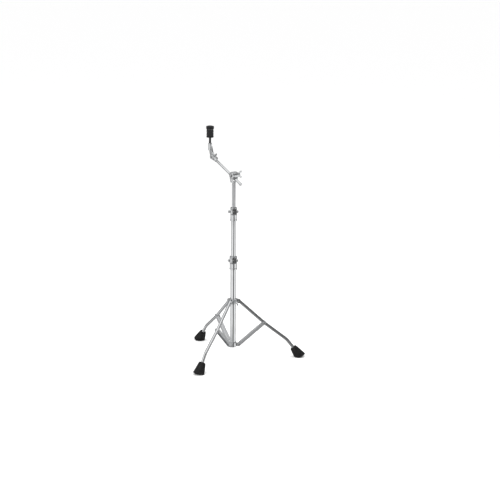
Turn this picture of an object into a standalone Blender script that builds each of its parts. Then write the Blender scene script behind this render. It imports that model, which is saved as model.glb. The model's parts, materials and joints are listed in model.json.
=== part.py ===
"""Cymbal boom stand: folding tripod, two telescoping tubes, boom arm and cymbal tilter.

Run in Blender 4.5. Metres, +Z up, floor at z = 0. The tripod's legs stand at 0, 120 and 240
degrees round the column; the boom leans away over the gap between the two left-hand legs.
"""
import math

import bmesh
import bpy
from mathutils import Matrix, Quaternion, Vector

# ---------------------------------------------------------------- driving dimensions
GAP = 0.0003                      # clearance between touching pieces
COLUMN_X = -0.0851                # the column stands left of the middle of the footprint
SPOKES = (0.0, 120.0, 240.0)      # azimuths of the three legs, degrees

# Column, from the floor up.
BASE_RADIUS, BASE_BORE = 0.0143, 0.0131
MIDDLE_RADIUS, MIDDLE_BORE = 0.0127, 0.0115
TOP_RADIUS, TOP_BORE = 0.00955, 0.00835
BASE_BOTTOM, BASE_TOP = 0.056, 0.496
MIDDLE_BOTTOM, MIDDLE_TOP = 0.266, 0.748
TOP_BOTTOM, TOP_TOP = 0.506, 0.908

# Tripod linkage, in the vertical plane of a spoke: (distance from the column axis, height).
PIN_REACH = 0.031
UPPER_PIN = Vector((PIN_REACH, 0, 0.295))
LOWER_PIN = Vector((PIN_REACH, 0, 0.065))
KNEE = Vector((0.160, 0, 0.180))     # level with the middle of the two pins
LEG_BEND = Vector((0.2765, 0, 0.0920))
LEG_RADIUS, LEG_WALL = 0.00795, 0.0015
LEG_PAST_PIN = 0.007
LEG_IN_FOOT = 0.024
PIN_RADIUS, PIN_HOLE = 0.003, 0.0034
PIN_HEAD = 0.0052
CHANNEL_INSIDE, CHANNEL_WALL = 0.0166, 0.0015
CHANNEL_WEB, CHANNEL_LIP = 0.010, 0.007

# Foot: a rubber cone round the leg's end, with a tilted, domed sole cut flat on the floor.
FOOT_TOP = Vector((0.3093, 0, 0.0495))
FOOT_SOLE = Vector((0.3441, 0, 0.0055))
FOOT_TOP_RADIUS, FOOT_SOLE_RADIUS = 0.0171, 0.0292
SOLE_TILT = math.radians(24.2)
SOLE_DOME = 0.008
FOOT_PATCH_X = 0.3325             # middle of the flat that rests on the floor

# Collars at the bottom of the column and under the leg tops.
HUB_RADIUS = 0.0190
LOWER_HUB = (0.052, 0.078)
UPPER_HUB = (0.281, 0.309)
EAR_THICKNESS = 0.0154
CLEVIS_WALL = 0.004
INSERT_WALL = 0.0013

# Height clamps: sleeve below, split and pinched above.
CLAMP_SLEEVE = 0.030
CLAMP_HEIGHT = 0.068
CLAMP_EAR_HALF = 0.0170
PINCH_BOLT_RADIUS = 0.003

# Boom: direction seen from above, slope, and the head that holds the rod.
BOOM_AZIMUTH = math.radians(125.0)
BOOM_RISE = math.radians(22.8)
ROD_RADIUS = 0.00635
ROD_OFFSET = 0.0116               # rod axis below the tilt bolt
ROD_CROSSING = 0.9335             # height where the rod axis meets the column axis
TILT_HEIGHT = ROD_CROSSING + ROD_OFFSET / math.cos(BOOM_RISE)
ROTOR_RADIUS, ROTOR_HALF = 0.0185, 0.0100
LUG_RADIUS, LUG_WALL = 0.0170, 0.0067
BRIDGE_DROP = 0.030
ROD_TAIL, ROD_TIP = 0.070, 0.1803
PIVOT_REACH = 0.1960

# Cymbal tilter and the stack on its rod, heights above the tilter's pivot.
PLATE_RADIUS, PLATE_THICKNESS = 0.0120, 0.0088
STEM_OFFSET = 0.0234
STEM_RADIUS = 0.004
BOSS_RADIUS = 0.0098
BOSS_BOTTOM, BOSS_TOP = 0.0300, 0.0667
STEM_BOTTOM = 0.0423
SLEEVE_RADIUS = 0.0055
SEAT_BOTTOM, SEAT_TOP = 0.0961, 0.1052
FELT_RADIUS, FELT_HEIGHT = 0.0183, 0.0150
CAP_RADIUS, CAP_HEIGHT = 0.0200, 0.0188

SIDES = 32                        # facets round the column tubes
SMALL_SIDES = 16                  # facets round nuts, bolts and bosses
PIN_SIDES = 12                    # facets round pins and their holes
FOOT_SIDES = 24

UP, ALONG_X, ALONG_Y = Vector((0, 0, 1)), Vector((1, 0, 0)), Vector((0, 1, 0))
ORIGIN = Vector((0, 0, 0))

FINISHES = {                      # base colour, roughness, metallic
    "chrome": ((0.78, 0.79, 0.80), 0.12, 1.0),
    "satin": ((0.68, 0.69, 0.70), 0.32, 1.0),
    "zinc": ((0.60, 0.61, 0.62), 0.28, 1.0),
    "steel": ((0.55, 0.56, 0.57), 0.35, 1.0),
    "nylon": ((0.06, 0.06, 0.065), 0.55, 0.0),
    "plastic": ((0.025, 0.025, 0.027), 0.45, 0.0),
    "rubber": ((0.018, 0.018, 0.019), 0.75, 0.0),
    "felt": ((0.030, 0.030, 0.032), 0.95, 0.0),
}


# ---------------------------------------------------------------- modelling helpers
def clear_scene():
    for obj in list(bpy.data.objects):
        bpy.data.objects.remove(obj, do_unlink=True)


def new_collection(name):
    collection = bpy.data.collections.new(name)
    bpy.context.scene.collection.children.link(collection)
    return collection


def new_frame(name, location, parent=None, turn=None):
    """An empty that a joint's pieces hang from, on the joint's axis."""
    empty = bpy.data.objects.new(name, None)
    empty.empty_display_size = 0.02
    guides.objects.link(empty)
    empty.parent = parent
    empty.location = location
    empty.rotation_euler = turn or (0, 0, 0)
    return empty


def place(obj, frame, location=ORIGIN, axis=UP, roll=0.0):
    """Put a piece in a frame with its own Z along axis, rolled about it."""
    turn = UP.rotation_difference(axis) @ Quaternion(UP, roll)
    obj.parent = frame
    obj.matrix_local = Matrix.Translation(location) @ turn.to_matrix().to_4x4()
    return obj


def put(obj, frame, matrix):
    """Put a piece in a frame by its local matrix."""
    obj.parent = frame
    obj.matrix_local = matrix
    return obj


def keep(obj, name, finish):
    """Make an object a piece of the stand, with a material of its own."""
    obj.name = name
    stand.objects.link(obj)
    colour, roughness, metallic = FINISHES[finish]
    material = bpy.data.materials.new(name + "_" + finish)
    material.use_nodes = True
    shader = material.node_tree.nodes["Principled BSDF"]
    shader.inputs["Base Color"].default_value = (*colour, 1)
    shader.inputs["Roughness"].default_value = roughness
    shader.inputs["Metallic"].default_value = metallic
    obj.data.materials.clear()
    obj.data.materials.append(material)
    return obj


def as_tool(obj, name):
    """Make an object a shape that only joins or cuts a piece."""
    obj.name = name
    guides.objects.link(obj)
    obj.hide_render = True
    obj.display_type = "WIRE"
    return obj


def combine(obj, tool, operation):
    """Join a piece with a tool (UNION) or cut it (DIFFERENCE)."""
    if tool.name not in guides.objects:
        as_tool(tool, obj.name + "_tool")
    modifier = obj.modifiers.new(operation.lower(), "BOOLEAN")
    modifier.operation = operation
    modifier.solver = "EXACT"
    modifier.object = tool


def join(obj, *tools):
    for tool in tools:
        combine(obj, tool, "UNION")


def cut(obj, *tools):
    for tool in tools:
        combine(obj, tool, "DIFFERENCE")


def turned(profile, sides=SIDES, ring=False):
    """Solid of revolution about Z. The profile runs down its outer side, (radius, height)."""
    mesh = bpy.data.meshes.new("turned")
    edges = [(i, i + 1) for i in range(len(profile) - 1)]
    if ring:
        edges.append((len(profile) - 1, 0))
    mesh.from_pydata([(radius, 0, height) for radius, height in profile], edges, [])
    obj = bpy.data.objects.new("turned", mesh)
    screw = obj.modifiers.new("turn", "SCREW")
    screw.steps = screw.render_steps = sides
    screw.use_merge_vertices = True
    screw.merge_threshold = 0.00001
    screw.use_smooth_shade = False
    return obj


def sleeve(bore, radius, bottom, top, edge=0.0, sides=SIDES):
    """A straight tube, with a small chamfer on its outer edges."""
    outside = [(radius - edge, top), (radius, top - edge), (radius, bottom + edge), (radius - edge, bottom)]
    if not edge:
        outside = [(radius, top), (radius, bottom)]
    return turned(outside + [(bore, bottom), (bore, top)], sides, ring=True)


def bar(radius, bottom, top, edge=0.0, sides=SMALL_SIDES):
    """A solid round bar, chamfered at both ends."""
    outside = [(radius - edge, top), (radius, top - edge), (radius, bottom + edge), (radius - edge, bottom)]
    if not edge:
        outside = [(radius, top), (radius, bottom)]
    return turned([(0, top)] + outside + [(0, bottom)], sides)


def box(size, bevel=0.0, segments=2):
    """A box about its own middle, with rounded edges."""
    mesh = bpy.data.meshes.new("box")
    shape = bmesh.new()
    bmesh.ops.create_cube(shape, size=1.0, matrix=Matrix.Diagonal((*size, 1)))
    shape.to_mesh(mesh)
    shape.free()
    obj = bpy.data.objects.new("box", mesh)
    if bevel:
        rounding = obj.modifiers.new("round", "BEVEL")
        rounding.width = bevel
        rounding.segments = segments
    return obj


def curve_mesh(curve_data):
    """The mesh of a curve object, welded, as a new object."""
    curve = bpy.data.objects.new("outline", curve_data)
    bpy.context.scene.collection.objects.link(curve)
    bpy.context.view_layer.update()
    depsgraph = bpy.context.evaluated_depsgraph_get()
    mesh = bpy.data.meshes.new_from_object(curve.evaluated_get(depsgraph))
    shape = bmesh.new()
    shape.from_mesh(mesh)
    bmesh.ops.remove_doubles(shape, verts=shape.verts, dist=0.00001)
    shape.to_mesh(mesh)
    shape.free()
    bpy.data.objects.remove(curve, do_unlink=True)
    return bpy.data.objects.new("outline", mesh)


def plate(outline, thickness):
    """A flat plate in XZ from an (x, z) outline, its thickness centred on Y = 0."""
    data = bpy.data.curves.new("plate", "CURVE")
    data.dimensions = "2D"
    data.fill_mode = "BOTH"
    data.extrude = thickness / 2
    spline = data.splines.new("POLY")
    spline.points.add(len(outline) - 1)
    spline.use_cyclic_u = True
    for point, (x, z) in zip(spline.points, outline):
        point.co = (x, z, 0, 1)
    obj = curve_mesh(data)
    obj.data.transform(Matrix.Rotation(math.pi / 2, 4, "X"))
    return obj


def bent_tube(points, radii, bevel_resolution, caps):
    """A tube along points, with a radius at each."""
    data = bpy.data.curves.new("tube", "CURVE")
    data.dimensions = "3D"
    data.bevel_depth = 1.0
    data.bevel_resolution = bevel_resolution
    data.use_fill_caps = caps
    spline = data.splines.new("POLY")
    spline.points.add(len(points) - 1)
    for point, co, radius in zip(spline.points, points, radii):
        point.co = (*co, 1)
        point.radius = radius
    return curve_mesh(data)


def ring(middle, across, radius):
    """Points of a circle spanned by Y and another direction, a foot's cross-section."""
    angles = [math.tau * i / FOOT_SIDES for i in range(FOOT_SIDES)]
    return [middle + (across * math.cos(a) + ALONG_Y * math.sin(a)) * radius for a in angles]


def loft(rings):
    """A closed skin over rings of points, flat at both ends."""
    shape = bmesh.new()
    rows = [[shape.verts.new(point) for point in points] for points in rings]
    for upper, lower in zip(rows, rows[1:]):
        for i, corner in enumerate(upper):
            shape.faces.new((corner, upper[i - 1], lower[i - 1], lower[i]))
    shape.faces.new(rows[0])
    shape.faces.new(rows[-1])
    bmesh.ops.recalc_face_normals(shape, faces=shape.faces)
    mesh = bpy.data.meshes.new("loft")
    shape.to_mesh(mesh)
    shape.free()
    return bpy.data.objects.new("loft", mesh)


def arc(centre, radius, start, end, count):
    """Points of an arc in a plane, angles in degrees."""
    angles = [math.radians(start + (end - start) * i / count) for i in range(count + 1)]
    return [(centre[0] + radius * math.cos(a), centre[1] + radius * math.sin(a)) for a in angles]


def rounded(corners, radii, count):
    """A path through corners, each inner one turned on an arc of its own radius."""
    path = [corners[0]]
    for before, corner, after, radius in zip(corners, corners[1:], corners[2:], radii):
        back = (before - corner).normalized()
        ahead = (after - corner).normalized()
        half = back.angle(ahead) / 2
        centre = corner + (back + ahead).normalized() * radius / math.sin(half)
        first = (corner + back * radius / math.tan(half) - centre).normalized()
        last = (corner + ahead * radius / math.tan(half) - centre).normalized()
        path += [centre + first.slerp(last, i / count) * radius for i in range(count + 1)]
    path.append(corners[-1])
    return path


def rivet(half_grip, frame, location, axis=ALONG_Y):
    """A headed pin centred on its grip."""
    head = half_grip + GAP
    tip = head + 0.0018
    profile = [(0, tip), (PIN_HEAD * 0.7, tip), (PIN_HEAD, head), (PIN_RADIUS, head)]
    mirrored = [(radius, -height) for radius, height in reversed(profile)]
    return place(turned(profile + mirrored, PIN_SIDES), frame, location, axis)


def pin_hole(frame, location, radius=PIN_HOLE, half_length=0.03):
    return place(bar(radius, -half_length, half_length, sides=PIN_SIDES), frame, location, ALONG_Y)


def wing_part(hub_radius, hub_length, span, reach, thickness):
    """Hub with two wings: Z is the axis, pointing outwards; the wings spread along X."""
    crown = hub_radius * 0.72
    hub = turned([(0, hub_length), (crown, hub_length), (hub_radius, hub_length * 0.72),
                  (hub_radius, 0), (0, 0)], SMALL_SIDES)
    lobe = span * 0.15
    middle = (span / 2 - lobe, reach - lobe)
    right = arc(middle, lobe, -65, 115, 5)
    left = [(-x, z) for x, z in reversed(right)]
    root = [(-hub_radius * 0.8, hub_length * 0.2), (hub_radius * 0.8, hub_length * 0.2)]
    wings = plate(right + [(0, hub_length * 0.9)] + left + root, thickness)
    return hub, wings


# ---------------------------------------------------------------- tripod
def make_base():
    """The lower tube and the collar that closes its foot, with one ear for each brace."""
    tube = place(sleeve(BASE_BORE, BASE_RADIUS, BASE_BOTTOM, BASE_TOP), column)
    keep(tube, "base_tube", "chrome")
    low, high = LOWER_HUB
    bore = BASE_RADIUS + GAP
    floor = BASE_BOTTOM - GAP
    edge = 0.0015
    hub = turned([(0, floor), (bore, floor), (bore, high), (HUB_RADIUS - edge, high), (HUB_RADIUS, high - edge),
                  (HUB_RADIUS, low + edge), (HUB_RADIUS - edge, low), (0, low)])
    keep(place(hub, column), "bottom_collar", "zinc")
    ear_radius = 0.0075
    for spoke in spokes:
        tip = arc((PIN_REACH, LOWER_PIN.z), ear_radius, -90, 90, 8)
        inside = BASE_RADIUS + 0.002
        outline = tip + [(inside, LOWER_PIN.z + ear_radius), (inside, LOWER_PIN.z - ear_radius)]
        join(hub, place(plate(outline, EAR_THICKNESS), spoke))
    for number, spoke in enumerate(spokes, 1):
        cut(hub, pin_hole(spoke, LOWER_PIN, half_length=0.012))
        half_grip = CHANNEL_INSIDE / 2 + CHANNEL_WALL
        keep(rivet(half_grip, spoke, LOWER_PIN), f"lower_pin_{number}", "steel")


def slope_frame(direction):
    """Local matrix whose X runs along a direction in the spoke's plane, Y unchanged."""
    x = direction.normalized()
    z = x.cross(ALONG_Y)
    return Matrix((x, ALONG_Y, z)).transposed().to_4x4()


def make_brace(number, frame):
    """A folded channel, open downwards, from the bottom collar to the leg's knee."""
    along = KNEE - LOWER_PIN
    length = along.length
    middle = (CHANNEL_WEB - CHANNEL_LIP) / 2
    end = (CHANNEL_WEB + CHANNEL_LIP) / 2
    near = arc((0, middle), end, 90, 270, 8)
    far = arc((length, middle), end, -90, 90, 8)
    width = CHANNEL_INSIDE + 2 * CHANNEL_WALL
    slope = slope_frame(along)
    brace = put(plate(near + far, width), frame, slope)
    keep(brace, f"brace_{number}", "satin")
    inside_top = CHANNEL_WEB - CHANNEL_WALL
    depth = inside_top + 0.03
    middle_inside = Matrix.Translation((length / 2, 0, inside_top - depth / 2))
    inner = put(box((length + 0.06, CHANNEL_INSIDE, depth)), frame, slope @ middle_inside)
    for start, stop in ((-0.03, 0.010), (length - 0.016, length + 0.03)):
        window = box((stop - start, CHANNEL_INSIDE - 0.0002, 0.04))
        cut(brace, put(window, frame, slope @ Matrix.Translation(((start + stop) / 2, 0, 0))))
    cut(brace, inner, pin_hole(frame, ORIGIN), pin_hole(frame, along))
    half_grip = width / 2
    keep(rivet(half_grip, frame, along), f"knee_pin_{number}", "steel")


def make_leg(number, frame):
    """Bent tube from the tripod collar through the knee into its rubber foot."""
    top = UPPER_PIN + (UPPER_PIN - KNEE).normalized() * LEG_PAST_PIN
    tail = (FOOT_TOP - LEG_BEND).normalized()
    corners = [point - KNEE for point in (top, KNEE, LEG_BEND, FOOT_TOP + tail * LEG_IN_FOOT)]
    path = rounded(corners, (0.30, 0.12), 3)
    leg = place(bent_tube(path, [LEG_RADIUS] * len(path), 6, caps=False), frame)
    keep(leg, f"leg_{number}", "chrome")
    wall = leg.modifiers.new("wall", "SOLIDIFY")
    wall.thickness = LEG_WALL
    wall.offset = -1
    cut(leg, pin_hole(frame, ORIGIN, half_length=0.012), pin_hole(frame, UPPER_PIN - KNEE, half_length=0.012))
    make_foot(number, frame, tail)


def make_foot(number, frame, tail):
    """Rubber cone on the leg's end: square to the leg above, a tilted dome below, cut at the floor."""
    across = tail.cross(ALONG_Y)
    rings = [ring(FOOT_TOP - KNEE, across, FOOT_TOP_RADIUS)]
    outwards = Vector((math.cos(SOLE_TILT), 0, math.sin(SOLE_TILT)))
    down = Vector((math.sin(SOLE_TILT), 0, -math.cos(SOLE_TILT)))
    for share in (1.0, 0.85, 0.6, 0.3):
        middle = FOOT_SOLE - KNEE + down * SOLE_DOME * (1 - share ** 2)
        rings.append(ring(middle, outwards, FOOT_SOLE_RADIUS * share))
    foot = place(loft(rings), frame)
    keep(foot, f"foot_{number}", "rubber")
    bore = bar(LEG_RADIUS + GAP, -0.03, LEG_IN_FOOT + GAP)
    ground = box((0.16, 0.16, 0.04))
    cut(foot, place(bore, frame, FOOT_TOP - KNEE, tail))
    cut(foot, place(ground, frame, Vector((FOOT_SOLE.x, 0, -0.02)) - KNEE))


def make_tripod_collar():
    """The sliding collar that the legs hang from, with a clevis for each leg and a wing bolt."""
    low, high = UPPER_HUB
    insert_bore = BASE_RADIUS + GAP
    bore = insert_bore + INSERT_WALL + GAP
    hub = place(sleeve(bore, HUB_RADIUS, low, high, edge=0.001), column)
    keep(hub, "tripod_collar", "zinc")
    insert = place(sleeve(insert_bore, insert_bore + INSERT_WALL, low + 0.0004, high - 0.0004), column)
    keep(insert, "collar_insert", "nylon")
    ear = 0.0078
    offset = CHANNEL_INSIDE / 2 + CLEVIS_WALL / 2
    for spoke in spokes:
        tip = arc((PIN_REACH, UPPER_PIN.z), ear, -75, 75, 8)
        outline = tip + [(0.0125, high - 0.002), (0.0125, low + 0.002)]
        for side in (-1, 1):
            join(hub, place(plate(outline, CLEVIS_WALL), spoke, ALONG_Y * (side * offset)))
    cheek = CHANNEL_INSIDE / 2 + CLEVIS_WALL
    screw_way = wing_axis()
    boss = bar(0.0075, bore + 0.0012, 0.0265, edge=0.001)
    join(hub, place(boss, column, UP * UPPER_PIN.z, screw_way))
    cut(hub, place(bar(bore, low - 0.01, high + 0.01, sides=SIDES), column))
    for number, spoke in enumerate(spokes, 1):
        cut(hub, pin_hole(spoke, UPPER_PIN, half_length=0.014))
        keep(rivet(cheek, spoke, UPPER_PIN), f"upper_pin_{number}", "steel")
    cut(hub, place(bar(PIN_HOLE, 0, 0.03), column, UP * UPPER_PIN.z, screw_way))
    head, wings = wing_part(0.0068, 0.0090, 0.038, 0.0165, 0.0032)
    roll = math.radians(140)
    reach = screw_way * (0.0265 + GAP)
    place(head, column, UP * UPPER_PIN.z + reach, screw_way)
    place(wings, column, UP * UPPER_PIN.z + reach, screw_way, roll)
    keep(head, "tripod_wing_bolt", "zinc")
    shank = bar(PIN_RADIUS, -(0.0265 - bore - 0.0001), 0.002)
    join(head, wings, place(shank, column, UP * UPPER_PIN.z + reach, screw_way))


def wing_axis():
    """Direction of the tripod's wing bolt, midway between two legs."""
    return Vector((math.cos(math.radians(-60)), math.sin(math.radians(-60)), 0))


# ---------------------------------------------------------------- height clamps and tubes
def make_clamp(level, tube_radius, bush_bore, sleeve_radius, ear_depth):
    """Clamp on a tube's top end: nylon bush, split ears towards -Y, pinch bolt and wing nut."""
    tube_top = {"lower": BASE_TOP, "upper": MIDDLE_TOP}[level]
    bottom = tube_top - CLAMP_SLEEVE - 0.005
    top = bottom + CLAMP_HEIGHT
    split_bottom = top - 0.036
    bore = tube_radius + GAP
    body = place(sleeve(bore, sleeve_radius, bottom, top, edge=0.0012), column)
    keep(body, f"{level}_clamp", "zinc")
    ears = box((2 * CLAMP_EAR_HALF, ear_depth, top - split_bottom - 0.004), bevel=0.003)
    bolt_y = -(sleeve_radius + ear_depth / 2 - 0.0045)
    bolt_z = (top + split_bottom) / 2 + 0.001
    bolt_at = Vector((0, bolt_y, bolt_z))
    join(body, place(ears, column, bolt_at))
    cut(body, place(bar(bore, bottom - 0.01, top + 0.01, sides=SIDES), column))
    slit = box((0.0028, 0.05, top - split_bottom + 0.01))
    cut(body, place(slit, column, Vector((0, -0.025, split_bottom + (top - split_bottom + 0.01) / 2))))
    cut(body, place(bar(PINCH_BOLT_RADIUS + GAP, -0.03, 0.03), column, bolt_at, ALONG_X))
    bush = sleeve(bush_bore, bore - GAP, tube_top + GAP, top - 0.001)
    keep(place(bush, column), f"{level}_clamp_bush", "nylon")
    shoulder = CLAMP_EAR_HALF + GAP
    bolt = turned([(0, shoulder + 0.0065), (0.0048, shoulder + 0.0065), (0.0065, shoulder + 0.0045),
                   (0.0065, shoulder), (PINCH_BOLT_RADIUS, shoulder), (PINCH_BOLT_RADIUS, -0.0262),
                   (0, -0.0262)], SMALL_SIDES)
    keep(place(bolt, column, bolt_at, ALONG_X), f"{level}_clamp_bolt", "steel")
    make_wing_nut(f"{level}_clamp_wing_nut", column, bolt_at - ALONG_X * shoulder, -ALONG_X,
                  (0.0072, 0.0100, 0.036, 0.0125, 0.0032), PINCH_BOLT_RADIUS + GAP, math.radians(90))


def make_wing_nut(name, frame, location, axis, shape, bore, roll):
    """A bored wing nut on a bolt, its inner face at location."""
    hub, wings = wing_part(*shape)
    place(hub, frame, location, axis)
    keep(hub, name, "zinc")
    join(hub, place(wings, frame, location, axis, roll))
    cut(hub, place(bar(bore, -0.01, 0.05), frame, location, axis))


def make_telescope():
    """Middle and top tubes, each with a nylon guide plugged into its lower end."""
    make_clamp("lower", BASE_RADIUS, MIDDLE_RADIUS + GAP, 0.0195, 0.0150)
    make_clamp("upper", MIDDLE_RADIUS, TOP_RADIUS + GAP, 0.0170, 0.0150)
    tubes = (("middle", MIDDLE_BORE, MIDDLE_RADIUS, MIDDLE_BOTTOM, MIDDLE_TOP, BASE_BORE, "chrome"),
             ("top", TOP_BORE, TOP_RADIUS, TOP_BOTTOM, TOP_TOP, MIDDLE_BORE, "satin"))
    for name, bore, radius, bottom, top, outer_bore, finish in tubes:
        keep(place(sleeve(bore, radius, bottom, top), column), f"{name}_tube", finish)
        rim = bottom - GAP
        spigot = bore - GAP
        flange = outer_bore - GAP
        hole = spigot - 0.0015
        guide = turned([(spigot, rim + 0.012), (spigot, rim), (flange, rim), (flange, rim - 0.004),
                        (hole, rim - 0.004), (hole, rim + 0.012)], ring=True)
        keep(place(guide, column), f"{name}_tube_guide", "nylon")


# ---------------------------------------------------------------- boom
def make_boom_fork():
    """Fork on the top tube: two lugs either side of the rotor, a narrow bridge and a stub."""
    neck_top = TILT_HEIGHT - BRIDGE_DROP
    bridge = box((0.012, 2 * (ROTOR_HALF + GAP + LUG_WALL), 0.006), bevel=0.001, segments=1)
    place(bridge, boom_head, Vector((0, 0, -BRIDGE_DROP - 0.003)))
    keep(bridge, "boom_fork", "zinc")
    arm_y = ROTOR_HALF + GAP + LUG_WALL / 2
    for side in (-1, 1):
        lug = bar(LUG_RADIUS, -LUG_WALL / 2, LUG_WALL / 2, edge=0.001, sides=30)
        join(bridge, place(lug, boom_head, ALONG_Y * (side * arm_y), ALONG_Y))
        outline = [(0.0145, -0.008), (-0.0145, -0.008), (-0.006, -BRIDGE_DROP - 0.0055), (0.006, -BRIDGE_DROP - 0.0055)]
        join(bridge, place(plate(outline, LUG_WALL - 0.0006), boom_head, ALONG_Y * (side * arm_y)))
    shoulder = TOP_TOP + GAP
    stub = TOP_BORE - GAP
    neck = turned([(0, neck_top - 0.003), (0.0085, neck_top - 0.003), (0.0100, shoulder + 0.003), (0.0100, shoulder),
                   (stub, shoulder), (stub, shoulder - 0.022), (0, shoulder - 0.022)])
    join(bridge, place(neck, column))
    cut(bridge, pin_hole(boom_head, ORIGIN, radius=0.0034))


def make_boom_rotor():
    """Disc that turns in the fork, with a cross bore and a split bush for the rod."""
    rotor = place(bar(ROTOR_RADIUS, -ROTOR_HALF, ROTOR_HALF, edge=0.0008, sides=30), boom_head, axis=ALONG_Y)
    keep(rotor, "boom_rotor", "zinc")
    boss = bar(ROTOR_HALF - 0.0005, -0.016, 0.016, edge=0.0006, sides=24)
    bush_bore = ROD_RADIUS + GAP
    bush_radius = bush_bore + 0.0011
    rod_bore = bar(bush_radius + GAP, -0.04, 0.04, sides=24)
    join(rotor, place(boss, boom_line, axis=ALONG_X))
    cut(rotor, pin_hole(boom_head, ORIGIN, half_length=0.014), place(rod_bore, boom_line, axis=ALONG_X))
    bush = place(sleeve(bush_bore, bush_radius, -0.0165, 0.0165, sides=24), boom_line, axis=ALONG_X)
    keep(bush, "boom_rod_bush", "nylon")


def make_boom_fasteners():
    """Through-bolt, washer and wing nut of the boom's tilt; the nut is on the front side."""
    face = ROTOR_HALF + GAP + LUG_WALL + GAP
    bolt = turned([(0, face + 0.0062), (0.0055, face + 0.0062), (0.0078, face + 0.0040), (0.0078, face),
                   (0.003, face), (0.003, -0.0350), (0, -0.0350)], SMALL_SIDES)
    keep(place(bolt, boom_head, axis=ALONG_Y), "boom_tilt_bolt", "steel")
    washer = sleeve(0.0034, 0.0090, face, face + 0.0016, sides=28)
    keep(place(washer, boom_head, axis=-ALONG_Y), "boom_washer", "steel")
    nut_face = face + 0.0016 + GAP
    make_wing_nut("boom_wing_nut", boom_head, -ALONG_Y * nut_face, -ALONG_Y,
                  (0.0088, 0.0160, 0.038, 0.0300, 0.0036), 0.0034, math.radians(90))


def make_boom_rod():
    """Straight rod through the head, with a thin plated cap on its tail."""
    rod = place(bar(ROD_RADIUS, -ROD_TAIL, ROD_TIP, edge=0.0006, sides=24), boom_line, axis=ALONG_X)
    keep(rod, "boom_rod", "chrome")
    length, wall = 0.008, 0.0006
    outside = ROD_RADIUS + GAP + wall
    inside = ROD_RADIUS + GAP
    back = -ROD_TAIL
    rim = back + length
    cap = turned([(0, back - GAP), (inside, back - GAP), (inside, rim), (outside, rim), (outside, back - 0.001),
                  (outside - 0.0012, back - 0.0018), (0, back - 0.0018)], 24)
    keep(place(cap, boom_line, axis=ALONG_X), "boom_end_cap", "chrome")


# ---------------------------------------------------------------- cymbal tilter and stack
def make_tilter():
    """Two toothed plates on one bolt: the lower half on the rod, the upper half on the stem."""
    half = PLATE_THICKNESS / 2
    offset = 0.0002 + half
    socket = bar(0.0092, ROD_TIP - 0.024, ROD_TIP + 0.0025, edge=0.001, sides=24)
    keep(place(socket, boom_line, axis=ALONG_X), "cymbal_tilter_lower", "zinc")
    disc = bar(PLATE_RADIUS, -half, half, edge=0.0008, sides=24)
    pivot = Vector((PIVOT_REACH, 0, 0))
    tongue = box((0.018, PLATE_THICKNESS - 0.0004, 0.0176), bevel=0.001, segments=1)
    join(socket, place(disc, boom_line, pivot + ALONG_Y * offset, ALONG_Y))
    join(socket, place(tongue, boom_line, pivot + Vector((-0.0125, offset, 0))))
    cut(socket, place(bar(ROD_RADIUS + GAP, -0.02, ROD_TIP + GAP, sides=24), boom_line, axis=ALONG_X))
    cut(socket, pin_hole(boom_line, pivot, radius=0.0028))

    boss = bar(BOSS_RADIUS, BOSS_BOTTOM, BOSS_TOP, edge=0.001, sides=24)
    stem_at = ALONG_X * STEM_OFFSET
    keep(place(boss, cymbal_pivot, stem_at), "cymbal_tilter_upper", "zinc")
    disc = bar(PLATE_RADIUS, -half, half, edge=0.0008, sides=24)
    join(boss, place(disc, cymbal_pivot, -ALONG_Y * offset, ALONG_Y))
    side = STEM_OFFSET + 0.0078
    arm = [(-0.0095, 0.0060), (-0.0070, -0.0105), (0.0030, -0.0126), (0.0130, -0.0105), (0.0270, 0.0110),
           (side, 0.0260), (side, 0.0520), (STEM_OFFSET - 0.0078, 0.0520), (0.0060, 0.0240)]
    join(boss, place(plate(arm, PLATE_THICKNESS - 0.0004), cymbal_pivot, -ALONG_Y * offset))
    cut(boss, pin_hole(cymbal_pivot, ORIGIN, radius=0.0028, half_length=0.012))
    cut(boss, place(bar(STEM_RADIUS + GAP, STEM_BOTTOM - GAP, 0.08), cymbal_pivot, stem_at))

    face = 0.0002 + PLATE_THICKNESS + GAP
    bolt = turned([(0, face + 0.0040), (0.0045, face + 0.0040), (0.0060, face + 0.0025), (0.0060, face),
                   (0.0025, face), (0.0025, -0.0200), (0, -0.0200)], SMALL_SIDES)
    keep(place(bolt, cymbal_pivot, axis=ALONG_Y), "cymbal_tilt_bolt", "steel")
    washer = sleeve(0.0028, 0.0075, face, face + 0.0012, sides=24)
    keep(place(washer, cymbal_pivot, axis=-ALONG_Y), "cymbal_washer", "steel")
    nut_face = face + 0.0012 + GAP
    make_wing_nut("cymbal_wing_nut", cymbal_pivot, -ALONG_Y * nut_face, -ALONG_Y,
                  (0.0068, 0.0110, 0.030, 0.0190, 0.0032), 0.0028, math.radians(65))


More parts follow.
